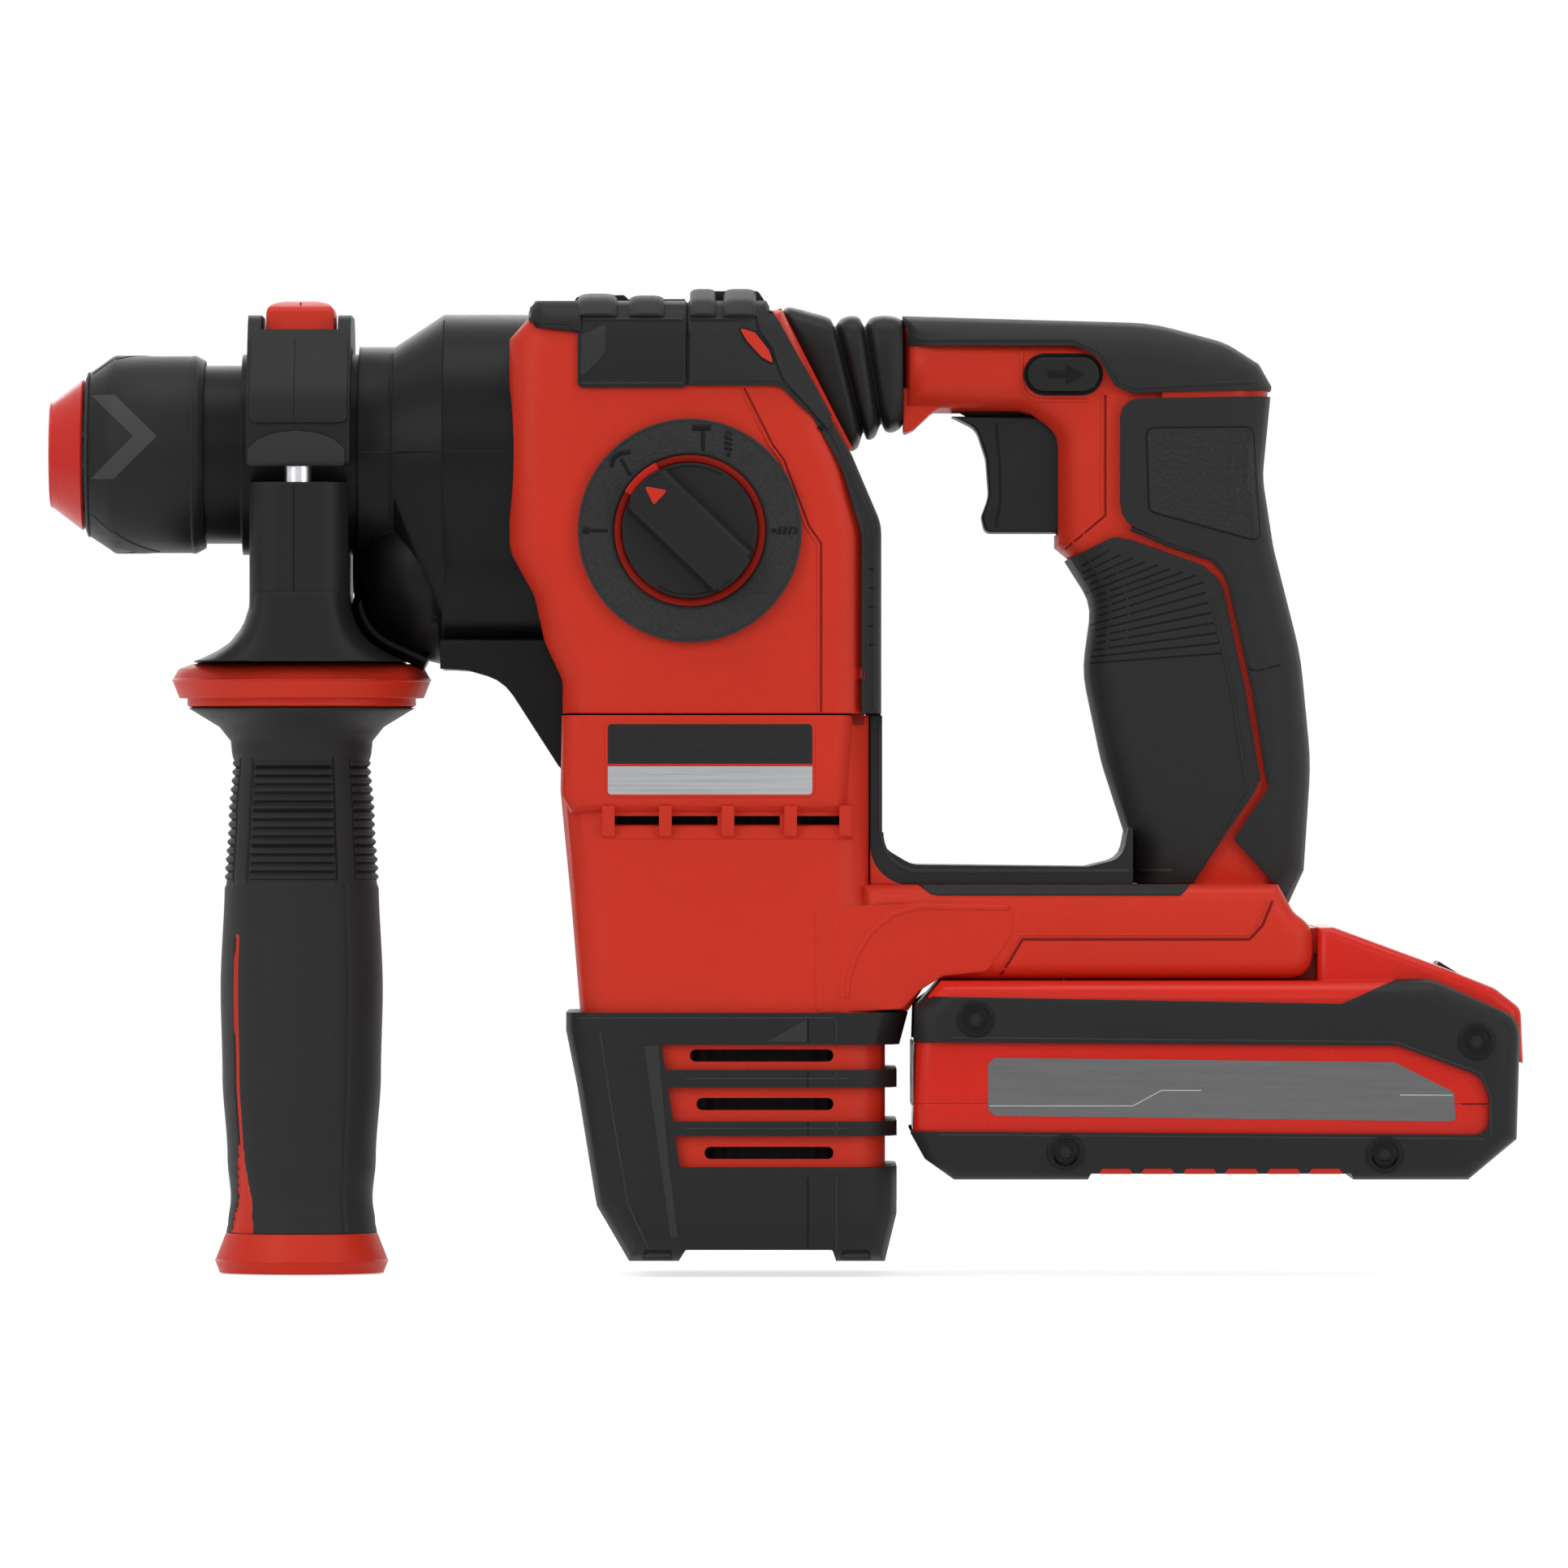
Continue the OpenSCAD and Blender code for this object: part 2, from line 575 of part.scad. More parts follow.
// Two balls, held clear of the bore while the holder is empty
module locking_balls() {
    ball_y = shank_d / 2 + ball_r + 0.1;
    color(steel)
        for (s = [-1, 1])
            translate([ball_x, s * ball_y, 0])
                sphere(ball_r, $fn = 24);
}

module spindle_gear() {
    color(dark_steel)
        difference() {
            x_gear(spindle_gear_r, spindle_teeth, gear_module, gear_x[0], gear_x[1], 0, 0);
            x_rod(spindle_r + 0.01, gear_x[0] - cut, gear_x[1] + cut);
        }
}

module lock_sleeve() {
    r = sleeve_d / 2;
    color(black)
        turned_x([[sleeve_x0, front_r + gap], [sleeve_x0, cap_r1 + 0.3], [sleeve_x0 + 0.6, cap_r1 + 1.2],
            [sleeve_x0 + 6.2, r],
            [sleeve_x1 - 1.8, r], [sleeve_x1, r - 1], [sleeve_x1, nose_r + gap],
            [nose_x0 - 7.8, nose_r + gap],
            [nose_x0 - 7.8, ring_r + fit], [ball_x - 5, ring_r + fit], [ball_x - 5, front_r + gap]]);
}

module ball_ring() {
    color(dark_steel)
        x_ring(ring_r, front_r + 0.25, ball_x - 4.8, ball_x + 3.6);
}

module chuck_spring() {
    color(steel)
        coil_x((front_r + ring_r) / 2, 0.8, ball_x + 3.7, nose_x0 - 1.7, 3);
}

module gear_case() {
    color(black)
        difference() {
            union() {
                x_rod(nose_r, nose_x0, chuck_len + 1);
                x_rod(collar_d / 2, chuck_len, collar_x1 + 1);
                x_rod(neck_d / 2, collar_x1, neck_x1);
                hull() {
                    x_rod(neck_d / 2, neck_x1 - 1, neck_x1 - 0.5, $fn = 48);
                    egg(0, barrel_x0 - 0.5, barrel_x0);
                }
                egg(0, barrel_x0 - 0.2, case_x1);
                translate([0, 0, shaft_z])
                    turned_x([[lobe_x0, 0], [lobe_x0, 5.6], [lobe_x0 + 1.6, 11], [lobe_x0 + 3, 13.4],
                        [lobe_x0 + 5.4, 16], [lobe_x0 + 8.8, 17.8], [lobe_x0 + 12.4, 19.4],
                        [barrel_x0 + 1, 21.4], [barrel_x0 + 1, 0]]);
                slab(gusset, -gusset_y, gusset_y);
            }
            x_rod(nose_r - 3, nose_x0 - cut, nose_x0 + 7);
            x_rod(spindle_r + 1, nose_x0, room_x0 + 1.5);
            x_rod(collar_d / 2 - case_wall, chuck_len + 2.6, chuck_len + 12);
            x_rod(collar_d / 2 - case_wall - 1, chuck_len + 11, room_x0 + 1.5);
            x_rod(2 * shaft_r + fit, seat_x[0] - 0.2, room_x0 + 1.5, 0, shaft_z);
            egg(-case_wall, room_x0, case_x1 + cut);
        }
}

module front_seal() {
    color(charcoal)
        x_ring(nose_r - 3 - fit, front_r + fit, nose_x0 + 1, nose_x0 + 6.8);
}

module spindle_bearings() {
    color(steel) {
        x_ring(collar_d / 2 - case_wall - fit, spindle_r + fit, chuck_len + 2.8, chuck_len + 11.8);
        x_ring(spindle_r + 4.5, spindle_r + fit, bracket_x[0] + 0.4, bracket_x[1] - 0.4);
    }
}

module bearing_bracket() {
    color(dark_steel)
        difference() {
            egg(-case_wall - fit, bracket_x[0], bracket_x[1]);
            x_rod(spindle_r + 4.5 + fit, bracket_x[0] - cut, bracket_x[1] + cut);
            x_rod(shaft_r + 1, bracket_x[0] - cut, bracket_x[1] + cut, 0, shaft_z);
        }
}

// Rear cover of the gear case with the seat of the motor
module gear_cover() {
    color(black)
        difference() {
            union() {
                egg(0, case_x1 + 0.1, face_x + 4.5);
                x_rod(lobe_r - 0.5, face_x, cover_x1, 0, shaft_z);
                z_rod(motor_bearing_r + 2.2, flange_z, shaft_z - 15, motor_x);
                z_rod(can_r + 3, flange_z - 3, flange_z, motor_x);
            }
            egg(-case_wall, case_x1 - cut, face_x + 1.5);
            x_rod(lobe_r - case_wall - 0.5, face_x, cover_x1 - 9, 0, shaft_z);
            block([motor_x + can_r + 0.5, -far, flange_z - far], [far, far, flange_z + 1]);
            x_rod(2 * shaft_r + fit, cover_x1 - 9.5, cover_x1 - 2.5, 0, shaft_z);
            z_rod(motor_bearing_r - 2, flange_z - far, shaft_z, motor_x);
            z_rod(motor_bearing_r + fit, flange_z - far, seat_z + motor_bearing_h + 0.1, motor_x);
        }
}

module shaft_bearings() {
    color(steel) {
        x_ring(2 * shaft_r, shaft_r + fit, seat_x[0], seat_x[1], shaft_z);
        x_ring(2 * shaft_r, shaft_r + fit, cover_x1 - 9, cover_x1 - 3, shaft_z);
        for (z = [seat_z, can_z + can_wall + 0.2])
            difference() {
                z_rod(motor_bearing_r, z, z + motor_bearing_h, motor_x);
                z_rod(motor_r + fit, z - cut, z + motor_bearing_h + cut, motor_x);
            }
    }
}

module stator() {
    color(copper)
        difference() {
            z_rod(stator_d / 2, stator_z - stator_len, stator_z, motor_x);
            z_rod(rotor_d / 2 + 0.5, stator_z - stator_len - cut, stator_z + cut, motor_x);
        }
}

// Can that hangs from the gear cover and holds the stator and the lower bearing
module motor_can() {
    top = flange_z - 3.05;
    color(dark_steel)
        difference() {
            z_rod(can_r, can_z, top, motor_x);
            z_rod(stator_d / 2 + fit, can_z + 12, top + cut, motor_x);
            z_rod(can_r - can_wall, fan_z[0] - 1, top + cut, motor_x);
            z_rod(stator_d / 2 - 3, can_z + 8.5, top, motor_x);
            z_rod(motor_bearing_r + fit, can_z + can_wall, top, motor_x);
            z_rod(motor_r + 1, can_z - cut, top, motor_x);
            for (a = [0:60:300])
                translate([motor_x, 0, fan_z[0]])
                    rotate(a)
                        block([0, -8, 0], [far / 8, 8, fan_z[1] - fan_z[0]]);
        }
}

// One half of the shells around the gear case
module upper_half() {
    boss = upper_y - wall + 0.5;
    seat_r = damper_r + 2.5;
    difference() {
        union() {
            difference() {
                pillow(upper_core, upper_y, upper_edge, upper_edge, 1);
                slab(upper_room, -upper_y + wall, 5);
                egg(gap, 90, face_x + 5.5);
                slab(gusset, -gusset_y - gap, 5);
                block([0, -far, -far], [far, far, upper_z]);
            }
            for (p = upper_screw_at)
                y_rod(boss_r, -boss, 1, p.x, p.y);
            x_rod(seat_r, 159, spring_x[0] - 0.1, 0, damper_z);
        }
        x_rod(damper_r + gap, 150, 180, 0, damper_z);
        block([0, 0, -far], [far, far, far]);
    }
}

module upper_shell_left() {
    color(red)
        difference() {
            upper_half();
            y_rod(knob_shaft_r + gap, -far / 4, 0, dial_x, dial_z);
            for (p = upper_screw_at)
                y_rod(screw_r + fit, -12, cut, p.x, p.y);
        }
}

module upper_shell_right() {
    color(red)
        difference() {
            mirror([0, 1, 0])
                upper_half();
            for (p = upper_screw_at) {
                y_rod(screw_r + fit, -cut, far / 4, p.x, p.y);
                y_rod(head_r + gap, upper_y - 8, far / 4, p.x, p.y);
            }
        }
}

// Hard cover over the front of the gear case
module top_cover() {
    color(black)
        difference() {
            union() {
                intersection() {
                    pillow(upper_skin, upper_y + skin, upper_edge + skin, upper_edge + skin);
                    slab(cover_region, -far / 4, far / 4);
                }
                slab(ridges[0], -22, 22);
            }
            pillow(upper_core, upper_y + seat, upper_edge, upper_edge, 0, seat);
            egg(gap, 90, face_x + 5.5);
        }
}

// Soft pad over the rear of the shells
module rear_pad() {
    color(charcoal)
        difference() {
            union() {
                intersection() {
                    pillow(upper_skin, upper_y + skin, upper_edge + skin, upper_edge + skin);
                    slab(pad_region, -far / 4, far / 4);
                }
                slab(ridges[1], -22, 22);
            }
            pillow(upper_core, upper_y + seat, upper_edge, upper_edge, 0, seat);
            egg(gap, 90, face_x + 5.5);
            for (p = upper_screw_at)
                y_rod(head_r + 1, 0, far / 4, p.x, p.y);
        }
}

module mode_ring() {
    color(black)
        difference() {
            y_rod(dial_r, -upper_y - ring_h, -upper_y - 0.02, dial_x, dial_z);
            y_rod(knob_r + dial_gap, -far / 4, 0, dial_x, dial_z);
        }
}

module mode_knob() {
    bar = 0.32 * knob_d;
    color(black)
        union() {
            y_rod(knob_r, -upper_y - knob_h / 2, -upper_y - gap, dial_x, dial_z);
            y_rod(knob_shaft_r, -upper_y - 1, -upper_y + wall + 2, dial_x, dial_z);
            intersection() {
                y_rod(knob_r, -upper_y - knob_h, -upper_y - knob_h / 2 + 1, dial_x, dial_z);
                translate([dial_x, 0, dial_z])
                    rotate([0, 45, 0])
                        block([-far / 8, -upper_y - knob_h - 1, -bar / 2], [far / 8, 0, bar / 2]);
            }
        }
}

// Screw along Y with its head towards +Y
module cross_screw(p, head_y, tip_y) {
    y_rod(screw_r, tip_y, head_y, p.x, p.y);
    y_rod(head_r, head_y - 2.6, head_y, p.x, p.y);
}

module upper_screws() {
    color(dark_steel)
        for (p = upper_screw_at)
            cross_screw(p, upper_y - 5.3, -11);
}

module countershaft() {
    color(dark_steel)
        union() {
            x_rod(shaft_r, seat_x[0] + 0.1, cover_x1 - 2.8, 0, shaft_z);
            x_gear(pinion_r, pinion_teeth, gear_module, gear_x[0] - 0.5, gear_x[1] + 0.5, shaft_z,
                180 / pinion_teeth);
        }
}

module wobble_hub() {
    color(steel)
        difference() {
            translate([wobble_x, 0, shaft_z])
                sphere(hub_r, $fn = 48);
            x_rod(shaft_r + 0.01, wobble_x - far, wobble_x + far, 0, shaft_z);
        }
}

module face_gear() {
    tip = 0.34;
    root = 0.8;
    color(dark_steel)
        difference() {
            union() {
                x_rod(face_r + face_half + 1, face_x, face_x + face_plate, 0, shaft_z);
                for (i = [0:face_teeth - 1])
                    translate([face_x + face_plate - 0.1, 0, shaft_z])
                        rotate([i * face_pitch + 180, 0, 0])
                            translate([0, 0, face_r - face_half])
                                linear_extrude(2 * face_half)
                                    polygon([[0, -root], [tooth_add + tooth_ded + 0.1, -tip],
                                        [tooth_add + tooth_ded + 0.1, tip], [0, root]]);
            }
            x_rod(shaft_r + 0.01, face_x - cut, face_x + far, 0, shaft_z);
        }
}

// Ring on the hub, with the finger that drives the piston
module wobble_ring() {
    color(steel)
        difference() {
            union() {
                x_rod(hub_r + 4, wobble_x - 4, wobble_x + 4, 0, shaft_z);
                z_rod(finger_r, shaft_z + hub_r + 2, 4, wobble_x);
            }
            translate([wobble_x, 0, shaft_z])
                sphere(hub_r + 0.2, $fn = 48);
        }
}

module piston() {
    r = tube_bore / 2 - fit;
    color(steel)
        difference() {
            union() {
                x_rod(r, piston_x[0], piston_x[1]);
                intersection() {
                    x_rod(r, piston_x[1] - 1, wobble_x + pin_r + 1);
                    block([piston_x[0], -far, -pin_r - 1.2], [far, far, pin_r + 1.2]);
                }
            }
            x_rod(striker_r, piston_x[0] - 1, piston_x[1] - 3.5);
            block([piston_x[1] + 0.5, -fork_gap, -far], [far, fork_gap, far]);
            y_rod(pin_r + fit, -far / 4, far / 4, wobble_x, 0);
        }
}

module piston_pin() {
    color(dark_steel)
        difference() {
            y_rod(pin_r, -fork_y, fork_y, wobble_x, 0);
            z_rod(finger_r + 0.35, -far / 4, far / 4, wobble_x);
        }
}

module striker() {
    color(steel)
        union() {
            x_rod(striker_r - 2 * fit, striker_x[0] + 4, striker_x[1]);
            x_rod(striker_r - 3, striker_x[0], striker_x[0] + 5);
        }
}

module impact_bolt() {
    color(steel)
        union() {
            x_rod(shank_d / 2 + 2 - 2 * fit, bolt_x[0], bolt_x[1] - 3);
            x_rod(shank_d / 2 - 0.6, bolt_x[1] - 4, chamber_x1 + 4);
        }
}

// Rotor with its shaft and the motor pinion
module rotor() {
    pinion_len = 10;
    pinion_z = shaft_z - face_r - 4;
    color(steel)
        union() {
            z_rod(motor_r, can_z + can_wall + 0.4, pinion_z + 1, motor_x);
            z_rod(rotor_d / 2, stator_z - stator_len + 2, stator_z - 2, motor_x);
            translate([motor_x, 0, pinion_z])
                rotate(180 + 180 / motor_teeth)
                    linear_extrude(pinion_len)
                        gear_outline(motor_pinion_r, motor_teeth, tooth_add, tooth_ded, 0.07, 0.21);
        }
}

module fan() {
    color(charcoal)
        difference() {
            union() {
                z_rod(fan_d / 2, fan_z[0], fan_z[0] + 2, motor_x);
                z_rod(motor_r + 3, fan_z[0], fan_z[1], motor_x);
                for (a = [0:30:330])
                    translate([motor_x, 0, fan_z[0] + 1])
                        rotate(a)
                            block([motor_r + 2, -0.6, 0], [fan_d / 2 - 1, 0.6, fan_z[1] - fan_z[0] - 1]);
            }
            z_rod(motor_r + 0.01, -far, far, motor_x);
        }
}

// One half of the motor housing, foot and handle
module housing_half() {
    vent_x = [121.3, 133.4, 146.6, 159.6];
    vent = [9.8, 4.2];
    slot_x1 = 167.8;
    slot_h = 1.3;
    difference() {
        union() {
            difference() {
                union() {
                    pillow(motor_core, lower_y, lower_edge, lower_edge, 1);
                    pillow(belt, belt_y, belt_edge, belt_edge, 1.5);
                    pillow(foot_outline, foot_y, foot_edge, foot_edge, 2);
                    pillow(handle_core, handle_y, handle_edge, handle_inset, 2.5);
                    slab(handle_tip, -handle_y + 4, 3);
                }
                block([0, -far, seam_z], [180, far, 0]);
                slab(motor_room, -lower_y + wall, 5);
                slab(handle_room, -handle_y + 4, 5);
                block([109, -gusset_y - gap, -70], [125, 5, 0]);
                battery_channel();
            }
            for (i = [1, 2])
                y_rod(boss_r, -handle_y + 3, 1, housing_screw_at[i].x, housing_screw_at[i].y);
            for (i = [4, 5])
                y_rod(boss_r, -lower_y + wall - 0.5, 1, housing_screw_at[i].x, housing_screw_at[i].y);
            for (x = [140, 159])
                z_rod(3, -166, board_z - fit, x, -16);
        }
        slab(trigger_room, -trigger_w / 2 - gap, 5);
        direction_slot();
        x_rod(damper_r + fit, 170, 196, 0, damper_z);
        for (s = cooling_slots)
            slab([[s.x, s.y - slot_h, 1.2], [slot_x1, s.y - slot_h, 1.2], [slot_x1, s.y + slot_h, 1.2],
                [s.x, s.y + slot_h, 1.2]], -far / 4, -lower_y + wall + 1);
        for (x = vent_x)
            block([x, -far / 4, -77.4 - vent.y], [x + vent.x, -lower_y + wall + 1, -77.4]);
        block([0, 0, -far], [far, far, far]);
    }
}

// Space for the battery's rails, open to the rear
module battery_channel() {
    block([channel_x0, -rail_w / 2 - gap, lip_z], [far, 5, channel_z]);
    block([channel_x0, -neck_w / 2 - gap, foot_z - 1], [far, 6, lip_z + cut]);
}

// Long hole for the direction switch
module direction_slot() {
    for (x = direction_x)
        y_rod(direction_r + gap, -far / 4, cut, x, direction_z);
    block([direction_x[0], -far / 4, direction_z - direction_r - gap], [direction_x[1], cut,
        direction_z + direction_r + gap]);
}

module housing_left() {
    color(red)
        difference() {
            housing_half();
            for (p = housing_screw_at)
                y_rod(screw_r + fit, -10, cut, p.x, p.y);
        }
}

module housing_right() {
    color(red)
        difference() {
            mirror([0, 1, 0])
                housing_half();
            for (p = housing_screw_at) {
                y_rod(screw_r + fit, -cut, far / 4, p.x, p.y);
                y_rod(head_r + gap, p[2] - 6, far / 4, p.x, p.y);
            }
        }
}

// Soft skin of the handle inside a region of the side view
module handle_grip(region) {
    difference() {
        intersection() {
            pillow(handle_skin, handle_y + grip_skin, handle_edge + grip_skin, handle_inset + grip_skin);
            slab(region, -far / 4, far / 4);
        }
        pillow(handle_core, handle_y + seat, handle_edge, handle_inset, 0, seat);
        for (p = housing_screw_at)
            y_rod(head_r + 1, 0, far / 4, p.x, p.y);
    }
}

// Front grip and the lining of the loop, one soft moulding
module front_grip() {
    lining_y = foot_y - foot_edge - 2;
    color(charcoal)
        union() {
            handle_grip(front_region);
            slab(lining, -lining_y, lining_y);
        }
}

module rear_grip() {
    color(charcoal)
        difference() {
            handle_grip(rear_region);
            pillow(foot_outline, foot_y + seat, foot_edge, foot_edge, 0, seat);
        }
}

module top_grip() {
    color(charcoal)
        handle_grip(top_region);
}

// Bumper around the foot of the motor housing
module motor_guard() {
    color(black)
        difference() {
            pillow(guard_outline, lower_y + guard_skin, lower_edge + guard_skin, lower_edge + guard_skin);
            pillow(motor_core, lower_y + seat, lower_edge, lower_edge, 0, seat);
            pillow(foot_outline, foot_y + seat, foot_edge, foot_edge, 0, seat);
            difference() {
                slab(guard_window, -far / 4, far / 4);
                for (z = guard_bars)
                    block([100, -far, z[0]], [far, far, z[1]]);
            }
            slab(guard_arch, -far / 4, far / 4);
            block([0, -far, guard_z], [far, far, 0]);
            for (p = housing_screw_at)
                y_rod(head_r + 1, 0, far / 4, p.x, p.y);
        }
}

module housing_screws() {
    color(dark_steel)
        for (p = housing_screw_at)
            cross_screw(p, p[2] - 3.3, -9);
}

module switch_module() {
    color(charcoal)
        union() {
            block([trigger_back + trigger_travel + 2 + 1, -switch_y, switch_z[0]],
                [switch_x1, switch_y, switch_z[1]]);
            x_rod(2, trigger_back + trigger_travel + 0.5, switch_x1 - 12.5, 0, plunger_z);
        }
}

module control_board() {
    color(green)
        union() {
            block([board_x[0], -board_y, board_z], [board_x[1], board_y, board_z + 1.6]);
            block([board_x[0] + 3, -board_y / 2, board_z + 1], [board_x[0] + 14, board_y / 2, board_z + 8]);
            z_rod(5, board_z + 1, board_z + 12, board_x[1] - 8, 0);
        }
}

// Contacts of the tool, held in the front of the channel
module terminal_block() {
    color(charcoal)
        union() {
            block([channel_x0 + 0.05, -16, lip_z + 0.2], [block_x0 - 1, 16, channel_z - 0.05]);
            for (y = [-11, 0, 11])
                block([block_x0 - 2, y - 0.5, lip_z + 1], [block_x0 + 9, y + 0.5, lip_z + 4.6]);
        }
}

// Guide of the sliding drive unit
module damper_rod() {
    color(steel)
        x_rod(damper_r, spring_x[0] - damper_travel - 9.4, 195.9, 0, damper_z);
}

module damper_spring() {
    color(steel)
        coil_x(damper_r + 1.6, 0.8, spring_x[0], spring_x[1], 4, damper_z);
}

// Folded rubber sleeve between the drive unit and the handle
module bellows() {
    color(charcoal)
        difference() {
            pillow(bellows_outline, bellows_y, 1.5, 0.8);
            slab(bellows_room, -bellows_y + 4, bellows_y - 4);
        }
}

module trigger() {
    color(black)
        difference() {
            pillow(trigger_outline, trigger_w / 2, 1.4, 0.8);
            x_rod(3.4, plunger_x0, far, 0, plunger_z);
        }
}

module trigger_spring() {
    color(steel)
        coil_x(2.6, 0.4, plunger_x0 + 0.2, trigger_back + trigger_travel + 2 + 0.8, 6, plunger_z);
}

module direction_switch() {
    half = handle_y + direction_travel - 0.6;
    color(black)
        union() {
            for (x = direction_x)
                y_rod(direction_r, -half, half, x, direction_z);
            block([direction_x[0], -half, direction_z - direction_r], [direction_x[1], half,
                direction_z + direction_r]);
        }
}

// Whole outer form of the battery case
module battery_form() {
    pillow(battery_outline, battery_case_y, battery_edge, battery_edge);
    pillow(hump, foot_y - 1, 2.5, 2.5);
    block([block_x0, -neck_w / 2, battery_z - 2], [273, neck_w / 2, channel_z - 1]);
    block([block_x0, -rail_w / 2, lip_z + gap], [272, rail_w / 2, channel_z - gap]);
}

// Room for the cells inside the case
module battery_room() {
    slab(battery_inside, -cell_len / 2 - 0.3, cell_len / 2 + 0.3);
}

module battery_case_top() {
    color(red)
        difference() {
            battery_form();
            battery_room();
            block([0, -far, -far], [far, far, battery_seam]);
            for (y = [-11, 0, 11])
                block([block_x0 - 1, y - 1, lip_z + 0.6], [block_x0 + 12, y + 1, lip_z + 8]);
            battery_button_pocket();
        }
}

module battery_case_bottom() {
    color(red)
        difference() {
            pillow(battery_outline, battery_case_y, battery_edge, battery_edge);
            battery_room();
            block([0, -far, battery_seam - 0.05], [far, far, far]);
        }
}

// Soft bumpers on the flanks and ends of the battery, above and below its red band
module battery_bumper() {
    color(black)
        difference() {
            pillow(bumper_outline, battery_y, battery_edge + bumper, battery_edge + bumper);
            pillow(battery_outline, battery_case_y + seat, battery_edge, battery_edge, 0, seat);
            pillow(hump, foot_y - 1 + seat, 2.5, 2.5, 0, seat);
            slab(bumper_window, -far / 4, far / 4);
            slab(bumper_top_cut, -far / 4, far / 4);
            slab(bumper_foot_cut, -far / 4, far / 4);
            block([0, 10 - battery_y, -far], [191, battery_y - 10, far]);
            block([300, 10 - battery_y, -far], [far, battery_y - 10, far]);
        }
}

module battery_cells() {
    color(copper)
        for (row = [0, 1], i = [0:4])
            y_rod(cell_d / 2, -cell_len / 2, cell_len / 2, cell_x0 + (i + row / 2) * cell_pitch,
                cells_z + (row - 0.5) * row_h);
}

// Slanted place of the release button on the rear of the battery
module at_battery_button() {
    translate([301.4, 0, -112.5])
        rotate([0, 32, 0])
            children();
}

module battery_button_pocket() {
    at_battery_button()
        block([-6, -12, -4.5], [6, 12, 8]);
}

module battery_button() {
    color(red)
        at_battery_button()
            block([-6 + gap, -12 + gap, -1], [6 - gap, 12 - gap, 1.2]);
}

// Lower half of the clamp, with the post that carries the grip
module saddle() {
    half = clamp_w / 2 - 0.6;
    color(black)
        difference() {
            union() {
                translate([clamp_x, 0, flange_z0])
                    linear_extrude(clamp_gap_z[0] - flange_z0)
                        polygon(rounded([[-half, -clamp_y, 6], [half, -clamp_y, 6], [half, clamp_y, 6],
                            [-half, clamp_y, 6]], 4));
                turned_z([[0, flange_z0], [23, flange_z0], [16, flange_z0 + 3.5], [12, flange_z0 + 8.5],
                    [half - 0.4, post_z], [0, post_z]], clamp_x);
            }
            x_rod(clamp_r, 0, far, 0, 0);
            for (s = [-1, 1])
                z_rod(rod_d / 2 + gap, yoke_z[0], 0, clamp_x, s * rod_y);
            block([clamp_x - 6 - gap, -rod_y - rod_d / 2 - 1, yoke_z[0] - gap],
                [clamp_x + 6 + gap, rod_y + rod_d / 2 + 1, yoke_z[1] + clamp_travel + gap]);
            z_rod(stud_r + gap, -far, -24, clamp_x);
        }
}

// Upper half of the clamp, with the notch of the depth stop button
module clamp_half() {
    half = clamp_w / 2;
    color(black)
        difference() {
            intersection() {
                translate([clamp_x - half, 0, 0])
                    rotate([90, 0, 90])
                        linear_extrude(clamp_w)
                            polygon(rounded([[-clamp_y, clamp_gap_z[1], 2], [clamp_y, clamp_gap_z[1], 2],
                                [clamp_y, 10, 12], [16, clamp_top, 8], [-16, clamp_top, 8],
                                [-clamp_y, 10, 12]], 5));
                slab([[clamp_x - half, -20, 0], [clamp_x + half, -20, 0], [clamp_x + half, clamp_r + 1.4, 4],
                    [clamp_x + half - 1.6, far, 0], [clamp_x - half + 1.2, far, 0],
                    [clamp_x - half, clamp_r + 1.4, 4]], -far / 4, far / 4);
            }
            x_rod(clamp_r, 0, far, 0, 0);
            block([0, -clamp_r, -far], [far, clamp_r, 0]);
            block([clamp_x - button_w / 2 - gap, -far, button_z], [clamp_x + button_w / 2 + gap, far, far]);
            block([clamp_x - button_w / 2 - gap, -button_y - gap, clamp_r + 2.4],
                [clamp_x + button_w / 2 + gap, button_y + gap, far]);
            for (s = [-1, 1])
                z_rod(rod_d / 2 + 0.02, -far, 9, clamp_x, s * rod_y);
        }
}

// Two rods and the nut bar that draw the clamp together
module clamp_yoke() {
    color(steel)
        difference() {
            union() {
                for (s = [-1, 1])
                    z_rod(rod_d / 2, yoke_z[0], 8.8, clamp_x, s * rod_y);
                block([clamp_x - 6, -rod_y, yoke_z[0]], [clamp_x + 6, rod_y, yoke_z[1]]);
            }
            z_rod(stud_r + fit, -far, 0, clamp_x);
            x_rod(clamp_r + 0.3, 0, far, 0, 0);
        }
}

module depth_button() {
    half = button_w / 2;
    crown = clamp_top + 3.2;
    color(red)
        intersection() {
            translate([clamp_x - half, 0, 0])
                rotate([90, 0, 90])
                    linear_extrude(button_w)
                        polygon(rounded([[-button_y, button_z, 0], [button_y, button_z, 0],
                            [button_y - 1, crown - 1.6, 2], [5, crown, 8], [-5, crown, 8],
                            [1 - button_y, crown - 1.6, 2]], 4));
            slab([[clamp_x - half, 0, 0], [clamp_x + half, 0, 0], [clamp_x + half - 0.6, crown - 0.8, 2.4],
                [clamp_x, crown + 0.6, 20], [clamp_x - half + 0.6, crown - 0.8, 2.4]], -far / 4, far / 4);
        }
}

